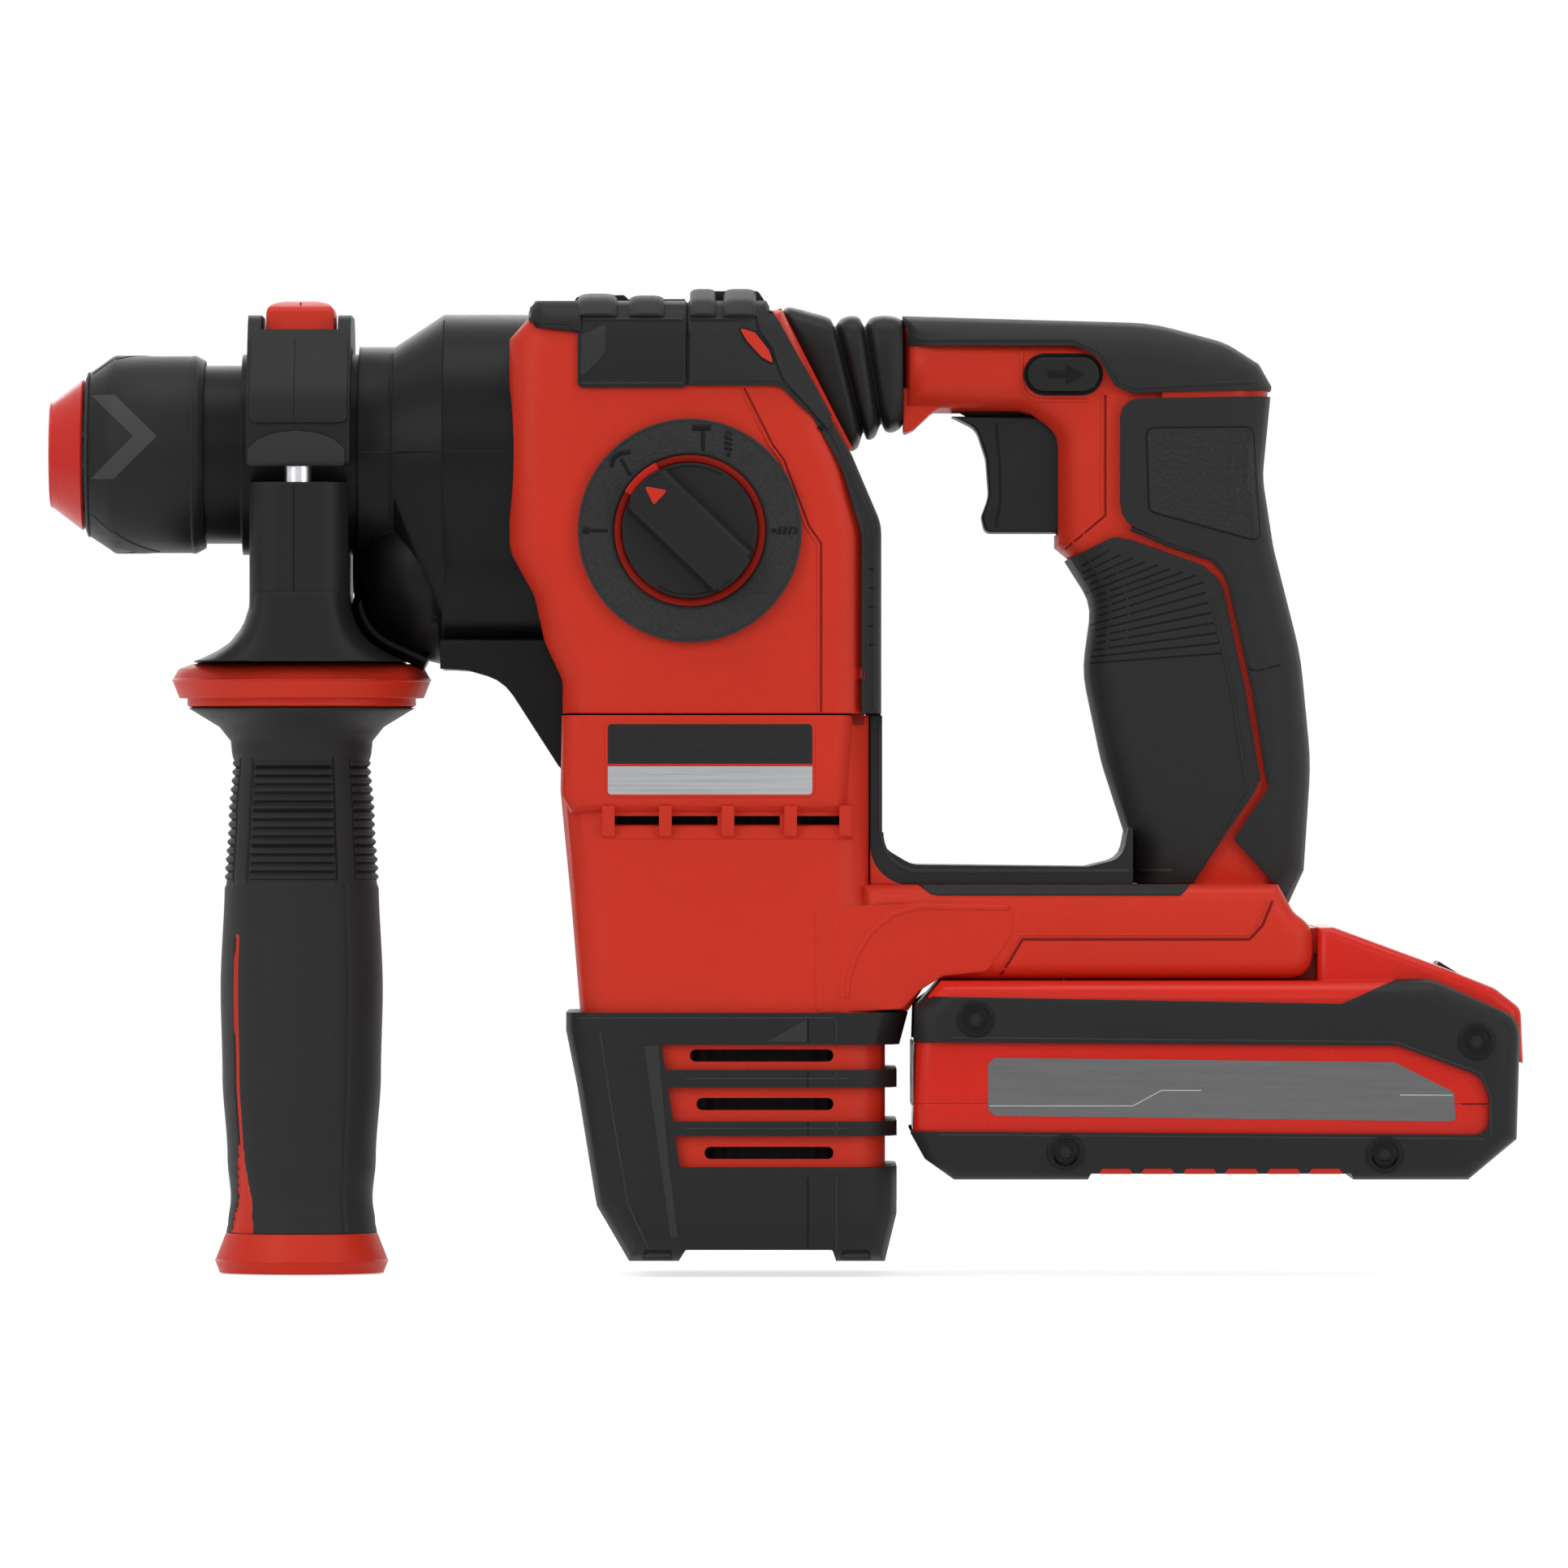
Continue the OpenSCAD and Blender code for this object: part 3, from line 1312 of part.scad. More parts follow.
// Rigid core of the grip with its flange, end cap and stud
module grip_core() {
    color(red)
        union() {
            turned_z([[0, grip_end], [grip_r + 0.2, grip_end], [grip_r + 1.2, grip_end + 2.6],
                [grip_r - 1.1, rubber_end], [core_r, rubber_end], [core_r, grip_top - 4.7],
                [24.5, grip_top], [24.5, grip_top + 1.5], [flange_r - 1.5, grip_top + 1.6],
                [flange_r, flange_z0 - 3.9], [flange_r - 1.3, flange_z0 - 1.5],
                [flange_r - 4.2, flange_z0 - gap], [0, flange_z0 - gap]], clamp_x);
            z_rod(stud_r, grip_top - 6.2, yoke_z[1] + 4, clamp_x);
        }
}

module grip_rubber() {
    color(charcoal)
        turned_z([[core_r + seat, rubber_end + seat], [grip_r - 1.2, rubber_end + seat],
            [grip_r - 1.6, rubber_end + 2.2], [grip_r - 2.2, rubber_end + 7.6],
            [grip_r - 1.5, rubber_end + 15.9], [grip_r - 0.4, rubber_end + 34],
            [grip_r, rubber_end + 52.3], [grip_r - 0.9, grip_top - 37.2],
            [grip_r - 1.7, grip_top - 24.2], [grip_r - 2.6, grip_top - 11.6],
            [grip_r - 2.2, grip_top - 7.6], [grip_r + 0.2, grip_top - 4.6], [24.3, grip_top - 0.4],
            [core_r + 0.5, grip_top - 4.8], [core_r + seat, grip_top - 5.4]], clamp_x);
}

spindle();
dust_cap();
locking_balls();
spindle_gear();
lock_sleeve();
ball_ring();
chuck_spring();
gear_case();
front_seal();
spindle_bearings();
bearing_bracket();
gear_cover();
shaft_bearings();
stator();
motor_can();
upper_shell_left();
upper_shell_right();
top_cover();
rear_pad();
mode_ring();
upper_screws();
countershaft();
wobble_hub();
face_gear();
wobble_ring();
piston();
piston_pin();
striker();
impact_bolt();
rotor();
fan();
mode_knob();
housing_left();
housing_right();
front_grip();
rear_grip();
top_grip();
motor_guard();
housing_screws();
switch_module();
control_board();
terminal_block();
damper_rod();
trigger();
trigger_spring();
direction_switch();
damper_spring();
bellows();
battery_case_top();
battery_case_bottom();
battery_bumper();
battery_cells();
battery_button();
saddle();
clamp_half();
clamp_yoke();
depth_button();
grip_core();
grip_rubber();
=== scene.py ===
"""Looks of a cordless rotary hammer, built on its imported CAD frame.

Sizes in the code are in millimetres, in the CAD frame: +X runs back along the spindle,
+Y points away from the mode dial, +Z is up. Meshes are written in metres.
"""

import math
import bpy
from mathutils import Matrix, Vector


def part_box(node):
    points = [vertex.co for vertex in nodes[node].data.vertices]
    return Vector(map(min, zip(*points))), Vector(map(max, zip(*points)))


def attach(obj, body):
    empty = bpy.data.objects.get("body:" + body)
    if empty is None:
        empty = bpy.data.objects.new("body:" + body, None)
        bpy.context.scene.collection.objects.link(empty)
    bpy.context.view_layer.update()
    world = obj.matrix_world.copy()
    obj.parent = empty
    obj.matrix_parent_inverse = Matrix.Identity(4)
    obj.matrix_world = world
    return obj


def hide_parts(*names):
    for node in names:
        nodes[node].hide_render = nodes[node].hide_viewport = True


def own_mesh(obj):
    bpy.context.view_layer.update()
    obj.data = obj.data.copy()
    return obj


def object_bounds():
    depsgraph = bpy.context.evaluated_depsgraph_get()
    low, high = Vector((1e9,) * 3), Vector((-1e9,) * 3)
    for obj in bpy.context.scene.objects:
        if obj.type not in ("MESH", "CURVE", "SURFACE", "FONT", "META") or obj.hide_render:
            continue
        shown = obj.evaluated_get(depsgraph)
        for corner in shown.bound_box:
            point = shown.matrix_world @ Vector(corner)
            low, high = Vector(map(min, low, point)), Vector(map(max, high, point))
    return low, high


bl_info = {
    "name": "Rotary hammer looks",
    "version": (1, 0, 0),
    "blender": (4, 5, 0),
    "location": "View3D > Sidebar > Rotary hammer",
    "description": "Materials, mouldings, plates and stage of a cordless rotary hammer",
    "category": "Object",
}

import bmesh
import bpy
from bpy.props import FloatProperty, FloatVectorProperty, IntProperty, PointerProperty
from mathutils import Matrix, Vector
from mathutils.bvhtree import BVHTree
from mathutils.geometry import delaunay_2d_cdt

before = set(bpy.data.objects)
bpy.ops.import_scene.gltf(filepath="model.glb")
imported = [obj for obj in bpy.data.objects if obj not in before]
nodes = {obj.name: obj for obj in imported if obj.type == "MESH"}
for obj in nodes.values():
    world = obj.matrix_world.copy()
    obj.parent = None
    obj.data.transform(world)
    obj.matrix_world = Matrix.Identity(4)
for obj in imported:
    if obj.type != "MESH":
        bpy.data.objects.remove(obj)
cad_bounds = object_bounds()
MM = 0.001
NEAR, FAR = -1, 1
MATERIALS = {}

# Angle between faces that makes an edge sharp, and half the angle of a corner that counts as straight
SHARP_ANGLE, STRAIGHT = math.radians(38), math.radians(86)

# How far out a ray to a flank starts, and where the nearest place is looked for if it misses
RAY_START, BESIDE = 120, 40

# Section of a line on a surface in shares of its width and height, and how deep lines and plates sink in
BEAD = [(-0.5, 0), (-0.42, 0.6), (-0.2, 1), (0.2, 1), (0.42, 0.6), (0.5, 0)]
BEAD_SINK, PLATE_SINK = 0.2, 0.25
STAR_RADIUS = 3.6

# Middle of the mode dial in the side view, and X of the side handle's axis
DIAL = (137.3, -16.8)
HANDLE_X = 53.9
ALONG_X = Matrix.Rotation(math.radians(90), 4, "Y")

# Stage, in metres
FLOOR_MIDDLE, FLOOR_RADIUS, FLOOR_GAP, FLOOR_THICKNESS, FLOOR_GLOW = 0.16, 0.62, 0.0003, 0.0004, 0.7
LIGHT_AIM = Vector((0.16, 0, -0.06))
SOFTBOXES = (
    ("key_left", (-1.2, -1.5, 0.75), (1.1, 1.4), 1.0),
    ("key_right", (1.6, -1.4, 0.5), (0.9, 1.4), 0.8),
    ("top", (0.16, -0.25, 1.6), (1.6, 0.9), 0.9),
    ("front", (0.3, -2.6, 1.3), (1.4, 0.6), 0.35),
    ("back", (0.0, 1.9, 0.8), (1.6, 1.2), 0.9),
)
CAMERA_PLACE = (0.1573, -3.5, -0.0706)


# Settings

class LookSettings(bpy.types.PropertyGroup):
    """Colours and edges of the moulded materials"""

    red: FloatVectorProperty(
        name="Red plastic", description="Colour of the moulded housing",
        default=(0.62, 0.034, 0.0155), subtype="COLOR", size=3, min=0.0, max=1.0,
    )
    black: FloatVectorProperty(
        name="Black plastic", description="Colour of the hard black mouldings",
        default=(0.012, 0.012, 0.0125), subtype="COLOR", size=3, min=0.0, max=1.0,
    )
    rubber: FloatVectorProperty(
        name="Rubber", description="Colour of the soft grips",
        default=(0.018, 0.0183, 0.019), subtype="COLOR", size=3, min=0.0, max=1.0,
    )
    edge_radius: FloatProperty(
        name="Edge radius", description="Radius that rounds the moulded edges in the shading",
        default=0.0006, min=0.0, max=0.003, unit="LENGTH",
    )
    smooth_angle: FloatProperty(
        name="Smooth angle", description="Faces that meet at less than this angle are shaded as one surface",
        default=math.radians(41), min=0.0, max=math.pi, subtype="ANGLE",
    )


class GripSettings(bpy.types.PropertyGroup):
    """Ribs of the side handle's grip"""

    ribs: IntProperty(name="Ribs", description="Ribs in each panel", default=14, min=4, max=24)
    panels: IntProperty(name="Panels", description="Rib panels round the grip", default=4, min=2, max=6)
    depth: FloatProperty(
        name="Groove depth", description="Depth of the grooves between the ribs",
        default=0.0008, min=0.0, max=0.002, unit="LENGTH",
    )


class StageSettings(bpy.types.PropertyGroup):
    """Studio light and camera"""

    ambient: FloatProperty(
        name="Ambient", description="Strength of the soft light from all sides",
        default=0.34, min=0.0, max=2.0,
    )
    key: FloatProperty(
        name="Key", description="Power of the large soft lights",
        default=13.0, min=0.0, max=100.0, unit="POWER",
    )
    lens: FloatProperty(
        name="Lens", description="Focal length of the camera",
        default=374.8, min=50.0, max=1000.0, unit="CAMERA",
    )


# Mesh helpers

def link(name, mesh, body, material):
    """An object that rides on a body. material is the key of a material, or a list of keys."""
    obj = bpy.data.objects.new(name, mesh)
    bpy.context.scene.collection.objects.link(obj)
    for key in [material] if isinstance(material, str) else material:
        mesh.materials.append(MATERIALS[key])
    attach(obj, body)
    return obj


def piece(name, verts, faces, body, material, marks=None):
    """A mesh piece from points in millimetres. marks gives each face its material slot."""
    mesh = bpy.data.meshes.new(name)
    mesh.from_pydata([[c * MM for c in v] for v in verts], [], faces)
    mesh.validate()
    if marks:
        mesh.polygons.foreach_set("material_index", marks)
    solid = bmesh.new()
    solid.from_mesh(mesh)
    bmesh.ops.recalc_face_normals(solid, faces=solid.faces)
    solid.to_mesh(mesh)
    solid.free()
    mesh.polygons.foreach_set("use_smooth", [True] * len(mesh.polygons))
    mesh.set_sharp_from_angle(angle=SHARP_ANGLE)
    mesh.update()
    return link(name, mesh, body, material)


class Skin:
    """Outer surface of some CAD nodes, seen square on from one side of the tool"""

    def __init__(self, names, side):
        verts, faces = [], []
        for name in names:
            mesh = nodes[name].data
            start = len(verts)
            verts += [v.co / MM for v in mesh.vertices]
            faces += [[start + i for i in p.vertices] for p in mesh.polygons]
        self.tree = BVHTree.FromPolygons(verts, faces)
        self.side = side

    def at(self, x, z):
        hit, normal, _, _ = self.tree.ray_cast(Vector((x, RAY_START * self.side, z)),
                                               Vector((0, -self.side, 0)))
        if hit is None:
            hit, normal, _, _ = self.tree.find_nearest(Vector((x, BESIDE * self.side, z)))
        if normal.y * self.side < 0:
            normal = -normal
        return hit, normal


class Bridge:
    """A smooth surface from a skin at one X to a place on it further back, used like a Skin"""

    def __init__(self, skin, x0, x1, z1):
        self.skin, self.x0, self.x1, self.side = skin, x0, x1, skin.side
        self.back = skin.at(x1, z1)[0].y

    def at(self, x, z):
        front = self.skin.at(self.x0, z)[0].y
        lean = (self.back - front) / (self.x1 - self.x0)
        return Vector((x, front + lean * (x - self.x0), z)), Vector((-lean, 1, 0)).normalized() * self.side


def resample(points, step):
    """Points of a polyline, close enough together to follow a curved surface."""
    out = [Vector(points[0])]
    for a, b in zip(points, points[1:]):
        a, b = Vector(a), Vector(b)
        n = max(1, math.ceil((b - a).length / step))
        out += [a.lerp(b, i / n) for i in range(1, n + 1)]
    return out


def arc(cx, cz, r, a0, a1, n):
    """Points of an arc in the side view, angles in degrees from +X towards +Z."""
    turns = [math.radians(a0 + (a1 - a0) * i / n) for i in range(n + 1)]
    return [(cx + r * math.cos(a), cz + r * math.sin(a)) for a in turns]


def rectangle(x0, x1, z0, z1):
    return [(x0, z0), (x1, z0), (x1, z1), (x0, z1)]


def closed(outline):
    """An outline that comes back to its first point."""
    return outline + outline[:1]


def shift(points, dx, dz):
    return [(x + dx, z + dz) for x, z in points]


def heading(points, i):
    """Direction of a path at its point i."""
    return Vector(points[min(i + 1, len(points) - 1)]) - Vector(points[max(i - 1, 0)])


def leftward(points, i):
    """Direction to the left of a flat path at its point i."""
    d = heading(points, i)
    return Vector((-d.y, d.x)).normalized()


def soften(points, r, n=4):
    """A closed outline with its corners rounded by r."""
    out = []
    m = len(points)
    for i in range(m):
        p, q, s = Vector(points[i - 1]), Vector(points[i]), Vector(points[(i + 1) % m])
        u, v = (p - q).normalized(), (s - q).normalized()
        half = math.acos(max(-1, min(1, u.dot(v)))) / 2
        if half > STRAIGHT:
            out.append(tuple(q))
            continue
        reach = min(r / math.tan(half), 0.48 * (p - q).length, 0.48 * (s - q).length)
        a, b = q + u * reach, q + v * reach
        for k in range(n + 1):
            t = k / n
            out.append(tuple(a * (1 - t) ** 2 + q * (2 * t * (1 - t)) + b * t**2))
    return out


def strip(name, points, skin, body, material, width, height, step=1.0):
    """A bead or line along a path in the side view, laid on the surface below it."""
    spots = [skin.at(p.x, p.y) for p in resample(points, step)]
    path = [hit for hit, _ in spots]
    rings = []
    for i, (hit, normal) in enumerate(spots):
        across = normal.cross(heading(path, i)).normalized()
        rings.append([hit + across * (u * width) + normal * (h * height if h else -BEAD_SINK)
                      for u, h in BEAD])
    return loft(name, rings, body, material)


def plate(name, outline, skin, body, material, lift, grid):
    """A thin plate with an outline in the side view, laid on the surface below it."""
    loop = resample(closed(outline), grid)[:-1]
    edges = [(i, (i + 1) % len(loop)) for i in range(len(loop))]
    lo, hi = (Vector((end(p.x for p in loop), end(p.y for p in loop))) for end in (min, max))
    cells = [lo + Vector((grid * (i + 0.5), grid * (j + 0.5)))
             for i in range(int((hi.x - lo.x) / grid) + 1) for j in range(int((hi.y - lo.y) / grid) + 1)]
    points = loop + [p for p in cells if inside(p, loop, grid * 0.35)]
    flat, _, found, *_ = delaunay_2d_cdt(points, edges, [], 0, 1e-5)
    tops = [f for f in found if inside(sum((flat[i] for i in f), Vector((0, 0))) / len(f), loop, 0)]
    spots = [skin.at(p.x, p.y) for p in flat]
    n = len(flat)
    verts = [h + d * lift for h, d in spots] + [h - d * PLATE_SINK for h, d in spots]
    drawn = {e: None for f in tops for e in zip(f, f[1:] + f[:1])}
    under = [[i + n for i in reversed(f)] for f in tops]
    sides = [(b, a, a + n, b + n) for a, b in drawn if (b, a) not in drawn]
    return piece(name, verts, tops + under + sides, body, material)


def inside(p, loop, margin):
    """Whether a point is within an outline, by more than a margin."""
    hit = False
    for a, b in zip(loop, loop[1:] + loop[:1]):
        if (a.y > p.y) != (b.y > p.y) and p.x < a.x + (b.x - a.x) * (p.y - a.y) / (b.y - a.y):
            hit = not hit
        if margin:
            d = b - a
            t = max(0, min(1, (p - a).dot(d) / max(d.length_squared, 1e-9)))
            if (a + d * t - p).length < margin:
                return False
    return hit


def quads(rows, n, ring=False):
    """Faces between rows of n points, each row closed on itself. A ring joins the last row to the first."""
    return [(k * n + i, k * n + (i + 1) % n, (k + 1) % rows * n + (i + 1) % n, (k + 1) % rows * n + i)
            for k in range(rows if ring else rows - 1) for i in range(n)]


def lathe(name, profile, place, body, material, steps):
    """A turned ring. profile has (radius, height) round its section, about the local Z axis of place."""
    turns = [2 * math.pi * i / steps for i in range(steps)]
    verts = [place @ Vector((r * math.cos(a), r * math.sin(a), h)) for a in turns for r, h in profile]
    return piece(name, verts, quads(steps, len(profile), True), body, material)


def loft(name, rings, body, material):
    """A closed skin over rings of as many points each, capped at both ends."""
    n = len(rings[0])
    caps = [tuple(range(n - 1, -1, -1)), tuple(range((len(rings) - 1) * n, len(rings) * n))]
    return piece(name, [v for ring in rings for v in ring], quads(len(rings), n) + caps, body, material)


def prism(name, profile, axis, span, body, material):
    """A profile drawn square to an axis, pulled along it over span."""
    rings = [[{"X": (at, u, v), "Y": (u, at, v), "Z": (u, v, at)}[axis] for u, v in profile] for at in span]
    return loft(name, rings, body, material)


def squircle(hx, hy, power, n):
    """Points of a rounded rectangle about the origin, squarer with a lower power."""
    out = []
    for i in range(n):
        a = 2 * math.pi * (i + 0.5) / n
        c, d = math.cos(a), math.sin(a)
        out.append((math.copysign(abs(c) ** power, c) * hx, math.copysign(abs(d) ** power, d) * hy))
    return out


def offset(points, d):
    """A path moved sideways by d, to the left of its direction."""
    return [tuple(Vector(q) + leftward(points, i) * d) for i, q in enumerate(points)]


def along_y(x, y, z, side):
    """Matrix that stands a turned piece on a flank, its local Z pointing outwards."""
    return Matrix.Translation((x, y, z)) @ Matrix.Rotation(math.radians(90 if side < 0 else -90), 4, "X")


def star_screw(name, x, y, z, side, body, r=STAR_RADIUS, depth=0.9):
    """Screw head with a six-lobed socket, its face at y."""
    place = along_y(x, y, z, side)
    rings = ((r, -1.4, 0), (r, -0.35, 0), (r - 0.35, 0, 0), (0.52 * r, 0, 0.16), (0.49 * r, -depth, 0.16),
             (0.02, -depth, 0))
    n = 48
    verts = []
    for q, h, lobe in rings:
        for a in (2 * math.pi * i / n for i in range(n)):
            reach = q * (1 + lobe * math.cos(6 * a))
            verts.append(place @ Vector((reach * math.cos(a), reach * math.sin(a), h)))
    faces = quads(len(rings), n) + [tuple(range(n - 1, -1, -1))]
    return piece(name, verts, faces, body, "screw")


def far_stars(name, y, body, places):
    """Star screws in a row of places on the far flank."""
    for i, (x, z) in enumerate(places):
        star_screw(f"{name}_{i}", x, y, z, FAR, body)


class Flank:
    """One flank of the tool, with the strips and plates that lie on it and ride on one body"""

    def __init__(self, side, tag, body):
        self.side, self.tag, self.body = side, tag, body

    def half(self, stem):
        """Name of the shell half on this flank."""
        return f"{stem}_{'left' if self.side < 0 else 'right'}"

    def skin(self, *names):
        return Skin(names, self.side)

    def named(self, name, i):
        return f"{name}_{self.tag}" if i is None else f"{name}_{self.tag}_{i}"

    def strip(self, name, points, skin, material, width, height, i=None, body=None):
        strip(self.named(name, i), points, skin, body or self.body, material, width, height)

    def plate(self, name, outline, skin, material, lift, grid, i=None, body=None):
        plate(self.named(name, i), outline, skin, body or self.body, material, lift, grid)


def both(make, body):
    """Runs a maker for the near and the far flank."""
    for side, tag in ((NEAR, "near"), (FAR, "far")):
        make(Flank(side, tag, body))


# Shader groups

# Depth of brushed scratches, in metres
SCRATCH_DEPTH = 0.00002
COLOUR, FLOAT, VECTOR = "NodeSocketColor", "NodeSocketFloat", "NodeSocketVector"


def new_group(name, inputs, outputs):
    g = bpy.data.node_groups.new(name, "ShaderNodeTree")
    for way, sockets in (("INPUT", inputs), ("OUTPUT", outputs)):
        for label, kind in sockets.items():
            g.interface.new_socket(name=label, in_out=way, socket_type=kind)
    return g, g.nodes.new("NodeGroupInput").outputs, g.nodes.new("NodeGroupOutput")


def feed(tree, node, inputs):
    """Links or sets a node's inputs, by name or number."""
    for k, v in inputs.items():
        if isinstance(v, bpy.types.NodeSocket):
            tree.links.new(v, node.inputs[k])
        else:
            node.inputs[k].default_value = v


def add(tree, kind, inputs=None, **values):
    """A node with its settings and its inputs."""
    n = tree.nodes.new(kind)
    for k, v in values.items():
        setattr(n, k, v)
    feed(tree, n, inputs or {})
    return n


def math_node(tree, operation, a, b=0.0, clamp=False):
    return add(tree, "ShaderNodeMath", {0: a, 1: b}, operation=operation, use_clamp=clamp).outputs[0]


def vector_node(tree, operation, inputs):
    return add(tree, "ShaderNodeVectorMath", inputs, operation=operation)


def mix_colour(tree, factor, a, b):
    return add(tree, "ShaderNodeMix", {0: factor, 6: a, 7: b}, data_type="RGBA").outputs[2]


def place_in_object(tree):
    return add(tree, "ShaderNodeTexCoord").outputs["Object"]


def noise(tree, where, scale, detail, roughness=0.5):
    inputs = {"Vector": where, "Scale": scale, "Detail": detail, "Roughness": roughness}
    return add(tree, "ShaderNodeTexNoise", inputs).outputs


def bump(tree, height, depth, **more):
    inputs = {"Strength": 1.0, "Distance": depth, "Height": height, **more}
    return add(tree, "ShaderNodeBump", inputs).outputs[0]


def moulded_group():
    """Fine moulded grain, blotches of gloss and pale wear along edges."""
    g, i, o = new_group(
        "moulded",
        {"Colour": COLOUR, "Wear": COLOUR, "Grain": FLOAT, "Depth": FLOAT, "Roughness": FLOAT,
         "Spread": FLOAT, "Edge": FLOAT, "Wear amount": FLOAT},
        {"Colour": COLOUR, "Roughness": FLOAT, "Normal": VECTOR},
    )
    where = place_in_object(g)
    fine = noise(g, where, i["Grain"], 2.0, 0.6)[0]
    broad = noise(g, where, 38.0, 5.0, 0.62)[0]
    scuff = noise(g, where, 420.0, 4.0, 0.7)[0]
    bevel = add(g, "ShaderNodeBevel", {"Radius": i["Edge"]}, samples=4).outputs[0]
    face = add(g, "ShaderNodeNewGeometry").outputs["Normal"]
    dot = vector_node(g, "DOT_PRODUCT", {0: bevel, 1: face}).outputs["Value"]
    edge = math_node(g, "MULTIPLY", math_node(g, "SUBTRACT", 1.0, dot), 5.0, True)
    worn = math_node(g, "MULTIPLY", edge, math_node(g, "MULTIPLY", scuff, i["Wear amount"]), True)
    tone = math_node(g, "MULTIPLY", math_node(g, "SUBTRACT", broad, 0.5), 0.16)
    speck = math_node(g, "MULTIPLY", math_node(g, "SUBTRACT", fine, 0.5), 0.22)
    shade = math_node(g, "ADD", math_node(g, "ADD", tone, speck), 1.0)
    scaled = vector_node(g, "SCALE", {0: i["Colour"], 3: shade}).outputs[0]
    swing = math_node(g, "SUBTRACT", math_node(g, "ADD", broad, scuff), 1.0)
    feed(g, o, {
        "Colour": mix_colour(g, worn, scaled, i["Wear"]),
        "Roughness": math_node(g, "ADD", math_node(g, "MULTIPLY", swing, i["Spread"]), i["Roughness"], True),
        "Normal": bump(g, fine, i["Depth"], Normal=bevel),
    })


def leather_group():
    """Pebbled grain of the dial ring and the window in the rear grip."""
    g, i, o = new_group("leather", {"Cell": FLOAT, "Depth": FLOAT}, {"Mask": FLOAT, "Normal": VECTOR})
    where = place_in_object(g)
    bend = noise(g, where, 700.0, 2.0)["Color"]
    moved = vector_node(g, "MULTIPLY_ADD", {0: bend, 1: (0.0012, 0.0012, 0.0012), 2: where}).outputs[0]
    cells = add(g, "ShaderNodeTexVoronoi", {"Vector": moved, "Scale": i["Cell"]}, feature="DISTANCE_TO_EDGE")
    mask = math_node(g, "MULTIPLY", cells.outputs["Distance"], 3.2, True)
    feed(g, o, {"Mask": mask, "Normal": bump(g, mask, i["Depth"])})


def brushed_group():
    """Fine straight scratches, much longer along one direction."""
    g, i, o = new_group("brushed", {"Stretch": VECTOR, "Depth": FLOAT}, {"Mask": FLOAT, "Normal": VECTOR})
    scaled = vector_node(g, "MULTIPLY", {0: place_in_object(g), 1: i["Stretch"]}).outputs[0]
    lines = noise(g, scaled, 1.0, 4.0, 0.7)[0]
    feed(g, o, {"Mask": lines, "Normal": bump(g, lines, i["Depth"])})


# Materials

def rgba(c):
    return (*c, 1.0)


def start_material(key, name, group, inputs):
    """A material with one of the shader groups ahead of its shader."""
    m = MATERIALS[key] = bpy.data.materials.new(name)
    m.use_nodes = True
    tree = m.node_tree
    grouped = add(tree, "ShaderNodeGroup", inputs, node_tree=bpy.data.node_groups[group])
    return tree, tree.nodes["Principled BSDF"], grouped.outputs


def moulding(key, name, colour, wear, roughness, grain=2600.0, depth=0.00003, spread=0.12, worn=0.4,
             specular=0.16, sheen=0.0, metallic=0.0):
    """A moulded or cast material with its own grain, gloss and worn edges."""
    tree, shader, grained = start_material(key, name, "moulded", {
        "Colour": rgba(colour), "Wear": rgba(wear), "Grain": grain, "Depth": depth, "Roughness": roughness,
        "Spread": spread, "Edge": bpy.context.scene.hammer_looks.edge_radius, "Wear amount": worn,
    })
    feed(tree, shader, {
        "Base Color": grained["Colour"], "Roughness": grained["Roughness"], "Normal": grained["Normal"],
        "Specular IOR Level": specular, "Metallic": metallic, "Sheen Weight": sheen, "Sheen Roughness": 0.6,
    })


def leather(key, name, low, high, roughness, cell, depth):
    """A pebbled material, darker between its pebbles."""
    tree, shader, pebbled = start_material(key, name, "leather", {"Cell": cell, "Depth": depth})
    feed(tree, shader, {
        "Base Color": mix_colour(tree, pebbled["Mask"], rgba(low), rgba(high)),
        "Normal": pebbled["Normal"],
        "Roughness": roughness,
        "Specular IOR Level": 0.2,
    })


def brushed(key, name, low, high, roughness, stretch, metallic):
    """A material with fine scratches along one direction."""
    inputs = {"Stretch": stretch, "Depth": SCRATCH_DEPTH}
    tree, shader, scratched = start_material(key, name, "brushed", inputs)
    uneven = math_node(tree, "MULTIPLY", scratched["Mask"], 0.2)
    feed(tree, shader, {
        "Base Color": mix_colour(tree, scratched["Mask"], rgba(low), rgba(high)),
        "Normal": scratched["Normal"],
        "Roughness": math_node(tree, "ADD", uneven, roughness, True),
        "Metallic": metallic,
        "Specular IOR Level": 0.25,
    })


